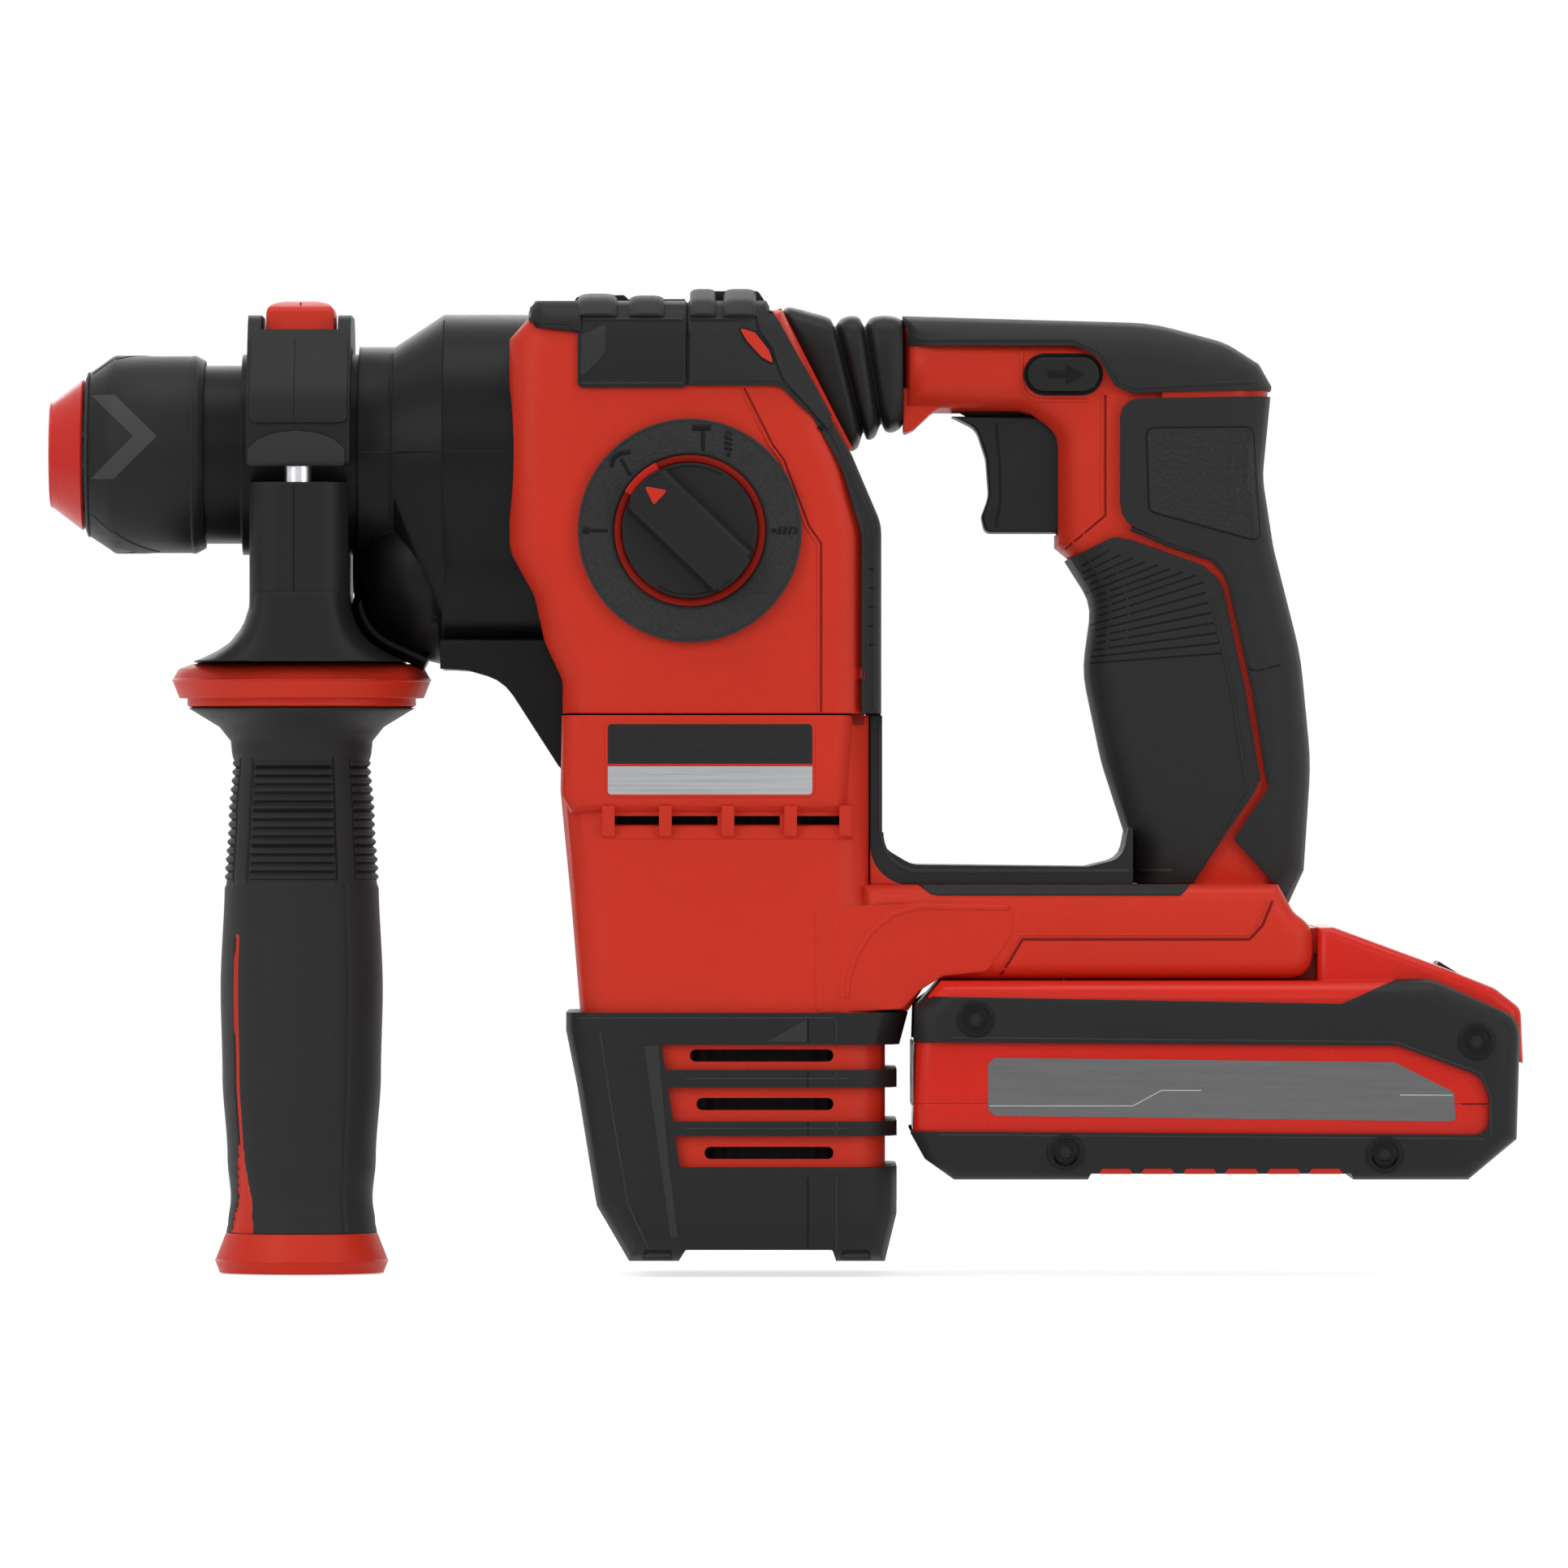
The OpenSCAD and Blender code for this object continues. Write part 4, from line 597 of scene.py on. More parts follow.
def make_materials(looks):
    moulded_group()
    leather_group()
    brushed_group()
    red, black, rubber = looks.red, looks.black, looks.rubber
    pale_red = (0.78, 0.11, 0.075)
    grey = (0.06, 0.06, 0.062)
    moulding("red", "red_plastic", red, pale_red, 0.42, depth=0.00004, worn=0.35)
    moulding("red_gloss", "red_gloss", (0.66, 0.022, 0.012), pale_red, 0.24, grain=1400.0, depth=0.000012,
             spread=0.06)
    # Dark red of seams, groove lines, steps and gaps in the red parts: painted shade in grooves and recesses.
    moulding("red_dark", "red_painted_groove_shade", (0.2, 0.008, 0.005), (0.3, 0.02, 0.015), 0.6, depth=0.00001)
    # Darker red of the dial's recessed red ring: painted shade of its recess.
    moulding("red_shade", "dial_ring_painted_shade", (0.34, 0.014, 0.007), pale_red, 0.5, depth=0.00002)
    moulding("black", "black_plastic", black, grey, 0.46, depth=0.000035, worn=0.5)
    moulding("case", "gear_case_black", (0.006, 0.006, 0.0064), grey, 0.38, grain=1900.0, depth=0.00002,
             spread=0.1, specular=0.12)
    moulding("guard", "guard_black", (0.0135, 0.0138, 0.0143), grey, 0.5, grain=1800.0, depth=0.00004)
    # Lighter grey of edges, rims, facets and bands on the black parts: a painted highlight.
    moulding("facet", "painted_highlight_grey", (0.03, 0.0305, 0.0315), (0.09, 0.09, 0.09), 0.55, grain=1500.0,
             depth=0.00006)
    moulding("rubber", "soft_rubber", rubber, (0.05, 0.05, 0.052), 0.58, grain=3200.0, depth=0.00002,
             spread=0.14, worn=0.25, specular=0.15, sheen=0.04)
    # Near black of groove lines, outlines, slits, gaps and sheets in dark hollows: painted shade; also used
    # for a few small dark parts and marks.
    moulding("groove", "near_black_groove_shade", (0.006, 0.006, 0.0065), (0.012, 0.012, 0.012), 0.75, depth=0.00001)
    moulding("bellows", "bellows_rubber", (0.014, 0.0145, 0.015), (0.04, 0.04, 0.042), 0.42, depth=0.00002)
    moulding("speckle", "chevron_grey", (0.055, 0.055, 0.057), (0.1, 0.1, 0.1), 0.6, grain=1300.0,
             depth=0.00012)
    leather("ring", "dial_ring", (0.016, 0.016, 0.0165), (0.026, 0.026, 0.027), 0.45, cell=1150.0,
            depth=0.00008)
    leather("window", "grip_window", (0.014, 0.0143, 0.015), (0.019, 0.0193, 0.02), 0.52, cell=720.0,
            depth=0.00016)
    moulding("steel", "steel", (0.62, 0.63, 0.65), (0.8, 0.8, 0.82), 0.22, grain=1600.0, depth=0.00001,
             metallic=1.0, worn=0.2)
    moulding("dark_steel", "dark_steel", (0.09, 0.09, 0.095), (0.2, 0.2, 0.2), 0.38, grain=1600.0,
             depth=0.00002, metallic=0.9)
    moulding("copper", "copper_winding", (0.7, 0.3, 0.12), (0.8, 0.5, 0.3), 0.35, grain=900.0, depth=0.0001,
             metallic=1.0)
    moulding("board", "circuit_board", (0.012, 0.09, 0.03), (0.1, 0.2, 0.1), 0.4, grain=700.0)
    moulding("alloy", "cast_alloy", (0.5, 0.51, 0.53), (0.7, 0.7, 0.7), 0.5, grain=900.0, depth=0.00006,
             metallic=1.0)
    moulding("screw", "black_screw", (0.006, 0.006, 0.0065), (0.05, 0.05, 0.05), 0.32, depth=0.00001,
             metallic=0.4)
    brushed("cap", "dust_cap_red", (0.55, 0.012, 0.008), (0.72, 0.035, 0.022), 0.2, (2600, 12, 12), 0.0)
    brushed("silver", "silver_plate", (0.22, 0.225, 0.23), (0.5, 0.51, 0.52), 0.3, (30, 800, 2400), 0.7)
    brushed("label", "black_plate", (0.006, 0.006, 0.0065), (0.016, 0.016, 0.017), 0.3, (30, 800, 2400), 0.2)
    brushed("grey_label", "grey_plate", (0.1, 0.101, 0.105), (0.16, 0.161, 0.166), 0.34, (60, 800, 900), 0.3)
    moulding("pale", "pale_sticker", (0.6, 0.6, 0.61), (0.7, 0.7, 0.7), 0.35, grain=300.0, depth=0.00001)
    moulding("wrap", "cell_wrap", (0.02, 0.16, 0.2), (0.1, 0.3, 0.3), 0.4, grain=600.0)


NODE_MATERIALS = {
    "red": ["upper_shell_left", "upper_shell_right", "housing_left", "housing_right", "grip_core",
            "depth_button"],
    "red_gloss": ["battery_case_top", "battery_case_bottom"],
    "cap": ["dust_cap"],
    "black": ["lock_sleeve", "mode_knob", "top_cover", "trigger", "direction_switch", "saddle", "clamp_half",
              "switch_module", "terminal_block", "front_seal", "battery_button"],
    "case": ["gear_case"],
    "guard": ["motor_guard", "battery_bumper"],
    "ring": ["mode_ring"],
    "rubber": ["front_grip", "rear_grip", "top_grip", "grip_rubber", "rear_pad"],
    "bellows": ["bellows"],
    "steel": ["spindle", "locking_balls", "ball_ring", "chuck_spring", "spindle_bearings", "shaft_bearings",
              "countershaft", "wobble_hub", "wobble_ring", "piston_pin", "striker", "impact_bolt",
              "damper_rod", "damper_spring", "trigger_spring", "clamp_yoke", "spindle_gear", "face_gear"],
    "dark_steel": ["rotor", "upper_screws", "housing_screws", "motor_can"],
    "copper": ["stator"],
    "alloy": ["bearing_bracket", "gear_cover", "piston"],
    "board": ["control_board"],
    "wrap": ["battery_cells", "fan"],
}


def smooth_group(angle):
    """Merges the split corners of the frame's meshes and shades them smooth below an angle."""
    g = bpy.data.node_groups.new("smooth_by_angle", "GeometryNodeTree")
    g.is_modifier = True
    g.interface.new_socket(name="Geometry", in_out="INPUT", socket_type="NodeSocketGeometry")
    g.interface.new_socket(name="Geometry", in_out="OUTPUT", socket_type="NodeSocketGeometry")
    i, o = g.nodes.new("NodeGroupInput"), g.nodes.new("NodeGroupOutput")
    bare = add(g, "GeometryNodeRemoveAttribute", {"Geometry": i.outputs[0], "Name": "custom_normal"})
    merged = add(g, "GeometryNodeMergeByDistance", {"Geometry": bare.outputs[0], "Distance": 0.000002})
    bend = add(g, "GeometryNodeInputMeshEdgeAngle")
    low = add(g, "FunctionNodeCompare", {0: bend.outputs[0], 1: angle}, operation="LESS_THAN")
    shape = merged.outputs[0]
    for domain, smooth in (("FACE", True), ("EDGE", low.outputs[0])):
        inputs = {"Geometry": shape, "Shade Smooth": smooth}
        shape = add(g, "GeometryNodeSetShadeSmooth", inputs, domain=domain).outputs[0]
    g.links.new(shape, o.inputs[0])
    return g


def dress_frame(looks):
    group = smooth_group(looks.smooth_angle)
    for key, names in NODE_MATERIALS.items():
        for name in names:
            mesh = nodes[name].data
            mesh.materials.clear()
            mesh.materials.append(MATERIALS[key])
            nodes[name].modifiers.new("smooth", "NODES").node_group = group


# Stage

def seen_rays(tree):
    """The rays that show the white background: from the camera, off gloss and through glass."""
    path = add(tree, "ShaderNodeLightPath")
    shown = math_node(tree, "MAXIMUM", path.outputs["Is Camera Ray"], path.outputs["Is Transmission Ray"])
    return math_node(tree, "MAXIMUM", shown, path.outputs["Is Glossy Ray"])


def make_stage(stage):
    scene = bpy.context.scene
    scene.view_settings.view_transform = "Standard"
    mesh = bpy.data.meshes.new("floor")
    n = 96
    turns = [2 * math.pi * i / n for i in range(n)]
    top = cad_bounds[0].z - FLOOR_GAP
    verts = [(FLOOR_MIDDLE + FLOOR_RADIUS * math.cos(a), FLOOR_RADIUS * math.sin(a), z)
             for z in (top, top - FLOOR_THICKNESS) for a in turns]
    faces = [tuple(range(n)), tuple(range(2 * n - 1, n - 1, -1))]
    faces += [(i + n, (i + 1) % n + n, (i + 1) % n, i) for i in range(n)]
    mesh.from_pydata(verts, [], faces)
    floor = bpy.data.objects.new("floor", mesh)
    scene.collection.objects.link(floor)
    moulding("floor", "floor_paint", (0.9, 0.9, 0.9), (0.92, 0.92, 0.92), 0.8, grain=300.0, spread=0.05)
    tree = MATERIALS["floor"].node_tree
    glow = math_node(tree, "MULTIPLY", seen_rays(tree), FLOOR_GLOW)
    feed(tree, tree.nodes["Principled BSDF"], {"Emission Color": (1, 1, 1, 1), "Emission Strength": glow})
    mesh.materials.append(MATERIALS["floor"])

    for name, place, size, share in SOFTBOXES:
        light = bpy.data.lights.new(name, "AREA")
        light.shape = "RECTANGLE"
        light.size, light.size_y = size
        light.energy = stage.key * share
        obj = bpy.data.objects.new(name, light)
        scene.collection.objects.link(obj)
        obj.location = place
        obj.rotation_mode = "QUATERNION"
        obj.rotation_quaternion = (LIGHT_AIM - Vector(place)).to_track_quat("-Z", "Y")

    world = bpy.data.worlds.new("studio")
    scene.world = world
    world.use_nodes = True
    tree = world.node_tree
    tree.nodes.clear()
    where = add(tree, "ShaderNodeTexCoord").outputs["Generated"]
    height = add(tree, "ShaderNodeSeparateXYZ", {0: where}).outputs[2]
    lift = math_node(tree, "ADD", math_node(tree, "MULTIPLY", height, 0.35), 0.65)
    strength = math_node(tree, "MULTIPLY", lift, stage.ambient)
    total = add(tree, "ShaderNodeMix", {0: seen_rays(tree), 2: strength, 3: 1.0}, data_type="FLOAT")
    back = add(tree, "ShaderNodeBackground", {"Color": (1, 1, 1, 1), "Strength": total.outputs[0]})
    out = add(tree, "ShaderNodeOutputWorld", {"Surface": back.outputs[0]})
    out.is_active_output = True

    camera = bpy.data.cameras.new("camera")
    camera.lens = stage.lens
    camera.sensor_width = 36.0
    camera.clip_end = 50.0
    holder = bpy.data.objects.new("camera", camera)
    scene.collection.objects.link(holder)
    holder.location = CAMERA_PLACE
    holder.rotation_euler = (math.radians(90), 0, 0)
    scene.camera = holder


# Pieces

def turned_copies(obj, body, count):
    """Copies of a piece turned about the spindle axis."""
    for i in range(1, count):
        mesh = obj.data.copy()
        mesh.transform(Matrix.Rotation(2 * math.pi * i / count, 4, "X"))
        twin = bpy.data.objects.new(f"{obj.name}_{i}", mesh)
        bpy.context.scene.collection.objects.link(twin)
        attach(twin, body)


def coil(node, body):
    """A steel copy of a spring of the frame, in its place; the frame's own spring is hidden."""
    source = nodes[node]
    mesh = source.data.copy()
    mesh.transform(source.matrix_world)
    mesh.materials.clear()
    obj = link(f"{node}_coil", mesh, body, "steel")
    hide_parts(node)
    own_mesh(obj)


def make_chuck():
    coil("chuck_spring", "lock_sleeve")
    lathe("cap_mouth", rectangle(5.1, 7.7, -0.06, 0.3), ALONG_X, "spindle", "groove", 64)
    lo, hi = (Vector(c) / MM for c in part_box("lock_sleeve"))
    r = hi.z
    skin = Skin(["lock_sleeve"], NEAR)
    arm = 2.6
    tip, top, low = (lo.x + 13.3, 3.5), (lo.x + 1.5, 12.4), (lo.x + 1.5, -5.6)
    chevron = [top, (tip[0] - arm, tip[1]), low, (low[0] + 2 * arm, low[1]), (tip[0] + arm, tip[1]),
               (top[0] + 2 * arm, top[1])]
    first = plate("sleeve_chevron", chevron, skin, "lock_sleeve", "speckle", 0.12, 0.9)
    turned_copies(first, "lock_sleeve", 4)
    # Pale front rim of the sleeve: a painted highlight.
    front = [(16.6, lo.x + 0.1), (17.5, lo.x + 0.35), (17.75, lo.x + 0.7), (17.3, lo.x + 1.0)]
    lathe("sleeve_front_rim", front, ALONG_X, "lock_sleeve", "facet", 96)
    rear = [(r - 0.4, hi.x - 3.0), (r + 0.12, hi.x - 2.8), (r + 0.12, hi.x - 2.1), (r - 0.5, hi.x - 1.9)]
    lathe("sleeve_rear_rim", rear, ALONG_X, "lock_sleeve", "black", 96)
    for i, (x, q) in enumerate(((0.35, 11.15), (2.2, 12.3), (4.2, 13.6), (6.2, 15.0))):
        bead = [(q - 0.5, x - 0.3), (q + 0.16, x - 0.15), (q + 0.2, x + 0.2), (q - 0.4, x + 0.3)]
        lathe(f"cap_ring_{i}", bead, ALONG_X, "spindle", "cap", 96)
    # Darker red lip inside the cap's mouth: painted shade.
    lathe("cap_lip", [(7.6, 0.6), (7.6, 0.05), (9.0, 0.05), (9.4, 0.5)], ALONG_X, "spindle", "red_dark", 64)


def make_clamp():
    x = HANDLE_X

    def dress(flank):
        upper, lower = flank.skin("clamp_half"), flank.skin("saddle")
        # Lug on the clamp's face, coloured with the painted highlight of its dome.
        lug = [(43.3, -2.5), (63.9, -2.5), (63.9, 0.6), (61.6, 2.7), (58.0, 4.0), (53.6, 4.5), (49.2, 4.0),
               (45.6, 2.7), (43.3, 0.6)]
        flank.plate("clamp_lug", soften(lug, 0.8), upper, "facet", 0.55, 1.2)
        cheek = soften(rectangle(43.6, 64.4, 6.2, 24.6), 1.6)
        flank.plate("clamp_cheek", cheek, upper, "black", 0.9, 1.6)
        # Parting lines, drawn as dark lines of painted groove shade.
        flank.strip("clamp_parting", [(x - 0.8, 24), (x - 0.8, 7.0)], upper, "groove", 0.35, 0.94)
        flank.strip("post_parting", [(x - 0.8, -7), (x - 0.8, -31)], lower, "groove", 0.35, 0.06,
                    body="side_handle")

    both(dress, "clamp")
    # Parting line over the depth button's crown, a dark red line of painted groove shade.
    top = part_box("depth_button")[1].z / MM
    section = ((-0.2, -0.1), (-0.1, 0.22), (0.1, 0.22), (0.2, -0.1))
    verts = [(x + dx, y, top - 0.12 - 0.0085 * y * y + dz) for y in range(-8, 9) for dx, dz in section]
    faces = [(4 * i + j, 4 * i + j + 1, 4 * i + j + 5, 4 * i + j + 4) for i in range(16) for j in range(3)]
    piece("button_line", verts, faces, "depth_button", "red_dark")
    flare = ((-29.8, 10.5, 0.34), (-33, 10.8, 0.34), (-36, 11.8, 0.36), (-38.5, 13.2, 0.4),
             (-40.5, 15.2, 0.44), (-42.2, 17.8, 0.48), (-43.6, 20.8, 0.52), (-44.4, 22.9, 0.55))
    rings = [[(x + u, y, z) for u, y in squircle(reach, 31.3, power, 96)] for z, reach, power in flare]
    loft("saddle_skirt", rings, "side_handle", "black")


GRIP_PROFILE = [(16.2, -166.7), (15.8, -164.6), (15.2, -159.2), (15.9, -150.9), (17.0, -132.8),
                (17.4, -114.5), (16.5, -91.0), (15.7, -78.0), (14.8, -65.4), (15.2, -61.4), (17.6, -58.4),
                (24.3, -54.3)]


def grip_radius(z):
    """Outside radius of the grip at height z, smooth between the profile's points."""
    for (r0, z0), (r1, z1) in zip(GRIP_PROFILE, GRIP_PROFILE[1:]):
        if z <= z1:
            t = max(0.0, (z - z0) / (z1 - z0))
            return r0 + (r1 - r0) * (t if z1 > -62 else t * t * (3 - 2 * t))
    return GRIP_PROFILE[-1][0]


def make_grip(grip):
    """Ribbed rubber grip, with a slit where the red core shows, and painted shade in the grooves between its
    ribs.
    """
    x, inner, depth = HANDLE_X, 14.0, grip.depth / MM
    # Ends of the rib panels
    top, low = -65.2, -91.4
    pitch = (top - low) / grip.ribs
    n = 288
    heights = [-166.7 + i * 0.9 for i in range(84)]
    heights += [low + 0.3 * i for i in range(1, int((top - low) / 0.3))]
    heights += [-65.0, -64.0, -62.8, -61.4, -60.4, -59.4, -58.4, -57.4, -56.4, -55.4, -54.3]
    heights = sorted(set(round(h, 3) for h in heights))
    # Angles of the slit and the seam, and half the width of a rib panel, in degrees
    slit, seam, panel = -53.0, 37.0, 38.5

    def angle_from(a, centre, period):
        return abs((a - centre + period / 2) % period - period / 2)

    def reach_from(a, line, r):
        """Distance round the grip from the nearer of two opposite lines."""
        return angle_from(a, line, 180.0) * math.pi / 180 * r

    def slit_width(z):
        return 0.6 + 3.4 * max(0.0, (-146 - z) / 20.7) ** 1.4 if z < -103.5 else 0.0

    def radius(a, z):
        r = grip_radius(z)
        off = angle_from(a, -7.0, 360 / grip.panels)
        if low <= z <= top and off < panel:
            frame_gap = min(panel - off, 3.0) * math.pi / 180 * r
            wave = 0.5 - 0.5 * math.cos(2 * math.pi * (z - low) / pitch)
            ribbed = depth * (1 - wave**0.55) if off < panel - 4 else 0.0
            border = depth * max(0.0, 1 - abs(off - (panel - 2)) / 1.6)
            r -= max(ribbed, border) * min(1.0, frame_gap + 0.4)
        for band in (low - 0.6, top + 0.5):
            r -= 0.35 * max(0.0, 1 - abs(z - band) / 0.45)
        if reach_from(a, seam, r) < 0.28 and z < low - 1:
            r -= 0.16
        if reach_from(a, slit, r) < slit_width(z):
            r -= 0.3
        return r

    turns = [360 * i / n for i in range(n)]
    spots = [(radius(a, z), a, z) for z in heights for a in turns]
    spots += [(r, a, z) for r, z in ((inner + 0.5, -58.5), (inner, -59.2), (inner, -166.7)) for a in turns]
    verts = [(x + r * math.sin(math.radians(a)), -r * math.cos(math.radians(a)), z) for r, a, z in spots]
    rows, marks = len(spots) // n, [0] * len(spots)
    for k, z in enumerate(heights[:-1]):
        for i in range(n):
            a = 360 * (i + 0.5) / n
            # Faces in the slit show the red core; faces deep between the ribs get the painted groove shade.
            red = reach_from(a, slit, 16) < slit_width(z)
            deep = low <= z <= top and grip_radius(z) - radius(a, z) > 0.5 * depth
            marks[k * n + i] = 1 if red else 2 if deep else 0
    obj = piece("side_grip", verts, quads(rows, n, True), "grip", ["rubber", "red", "groove"], marks)
    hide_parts("grip_rubber")
    axis = Matrix.Translation((x, 0, 0))
    lathe("grip_washer", rectangle(9.5, 22.4, -44.84, -44.6), axis, "grip", "groove", 96)
    for i, (r, z) in enumerate(((27.75, -48.4), (18.65, -172.7))):
        bead = [(r - 0.6, z - 0.5), (r + 0.02, z - 0.2), (r + 0.02, z + 0.2), (r - 0.6, z + 0.5)]
        lathe(f"grip_edge_{i}", bead, axis, "grip", "red_gloss", 128)


def make_gear_case():
    def dress(flank):
        skin = flank.skin("gear_case")
        # The seam is a dark line of painted groove shade.
        flank.strip("case_seam", [(84.6, 28.5), (84.6, -24)], skin, "groove", 0.35, 0.05)
        flank.strip("case_parting", [(67.4, 0), (98, 0)], skin, "case", 0.5, 0.07)
        flank.strip("neck_ring", [(73.4, 21.5), (73.4, -14)], skin, "case", 0.7, 0.15)

    both(dress, "gear_unit")
    lobe = resample([(67.3, -25.5), (67.25, -30.8), (66.6, -32.6), (67.5, -35.2), (68.7, -37.3),
                     (70.3, -39.0), (72.6, -40.5), (75.5, -41.8), (81.0, -44.2)], 1.5)
    rings = []
    for i, q in enumerate(lobe):
        out = leftward(lobe, i)
        rings.append([(q.x + out.x * c, y, q.y + out.y * c) for c, y in squircle(2.1, 9.0, 0.8, 24)])
    loft("case_lobe_rib", rings, "gear_unit", "case")


def make_dial():
    cx, cz = DIAL
    ring_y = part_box("mode_ring")[0].y / MM
    disc_y, bar_y = ring_y - 2.5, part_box("mode_knob")[0].y / MM
    face, up = along_y(cx, 0, cz, NEAR), -ring_y
    # Outer edge of the dial, in the painted highlight grey.
    outer = [(23.2, up - 0.6), (23.75, up - 0.5), (23.75, up + 0.02), (23.2, up + 0.14)]
    lathe("dial_edge", outer, face, "gear_unit", "facet", 128)
    inner = [(16.2, up - 0.6), (16.2, up + 0.05), (16.7, up + 0.12), (16.9, up - 0.2)]
    lathe("dial_inner_edge", inner, face, "gear_unit", "black", 128)
    # Red ring in the dial's recess, darkened with painted shade.
    middle = [(14.6, up - 1.9), (14.6, up - 0.5), (15.0, up - 0.3), (16.0, up - 0.3), (16.25, up - 0.6),
              (16.25, up - 1.9)]
    lathe("dial_red_ring", middle, face, "gear_unit", "red_shade", 128)

    along, across = Vector((0.72, -0.69)).normalized(), Vector((0.69, 0.72)).normalized()
    rows = ((6.5, disc_y + 0.3, 0.0), (6.3, disc_y - 0.4, 0.2), (5.5, bar_y + 0.5, 0.5),
            (4.9, bar_y + 0.02, 1.1))
    rings, count = [], 20
    for half, y, trim in rows:
        r = 14.25 - trim
        swing = math.asin(half / r)
        turns = [-swing + 2 * swing * i / count for i in range(count + 1)]
        spots = [(along * math.cos(a) + across * math.sin(a)) * (s * r) for s in (1, -1) for a in turns]
        rings.append([(cx + p.x, y, cz + p.y) for p in spots])
    loft("knob_bar", rings, "mode_knob", "black")
    tab = arc(cx, cz, 16.1, 117, 149, 16) + arc(cx, cz, 14.5, 149, 117, 16)
    prism("knob_tab", tab, "Y", (ring_y + 0.4, ring_y - 1.6), "mode_knob", "red_gloss")
    skin = Skin(["mode_knob"], NEAR)
    window = [(cx - 9.6, cz + 9.3), (cx - 4.6, cz + 8.4), (cx - 7.6, cz + 5.2)]
    plate("knob_pointer", soften(window, 0.5), skin, "mode_knob", "red", 0.25, 1.0)
    strip("knob_rim", arc(cx, cz, 13.7, 60, 130, 24), skin, "mode_knob", "case", 0.5, 0.15)
    strip("knob_rim_low", arc(cx, cz, 13.7, 240, 310, 24), skin, "mode_knob", "case", 0.5, 0.15)

    ring = Skin(["mode_ring"], NEAR)

    def icon(name, u, w, turn, lines):
        c, d = math.cos(math.radians(turn)), math.sin(math.radians(turn))
        for i, (width, points) in enumerate(lines):
            path = [(cx + u + a * c - b * d, cz + w + a * d + b * c) for a, b in points]
            strip(f"icon_{name}_{i}", path, ring, "gear_unit", "screw", width, 0.2, 0.6)

    bit = [(0.9, [(-2.7, 0), (-1.7, 0)]), (0.5, [(1.9, 0.7), (2.7, 0), (1.9, -0.7)])]
    bit += [(0.75, [(a, -0.8), (a + 0.5, 0.8)]) for a in (-1.3, -0.2, 0.9)]
    mallet = [(0.85, [(0, -3.0), (0, 1.2)]), (1.5, [(-2.2, 1.9), (1.6, 1.9)])]
    chisel = [(0.8, [(-1.0, 0), (2.6, 0)]), (1.6, [(-2.6, 0), (-1.3, 0)])]
    claw = [(0.8, [(0.6, -2.8), (0, 1.0)]), (1.1, [(-2.6, 0.2), (-1.6, 1.7), (0, 2.2), (2.4, 1.8)])]
    r = 20.1
    icons = (("chisel", 180, 0, chisel), ("claw", 135, 20, claw), ("mallet", 82, 0, mallet),
             ("mallet_bit", 66, 90, bit), ("bit", 0, 0, bit))
    for name, degrees, turn, lines in icons:
        icon(name, r * math.cos(math.radians(degrees)), r * math.sin(math.radians(degrees)), turn, lines)


def over_roof(name, half, x0, x1, profile, material):
    """A band over the roof from flank to flank. profile gives its height across the band from x0 to x1."""
    path = half + [(-y, z) for y, z in reversed(half)]
    rings = []
    for i, (y, z) in enumerate(path):
        up = leftward(path, i)
        rings.append([(x0 + (x1 - x0) * u, y + up.x * d, z + up.y * d) for u, d in profile])
    loft(name, rings, "gear_unit", material)


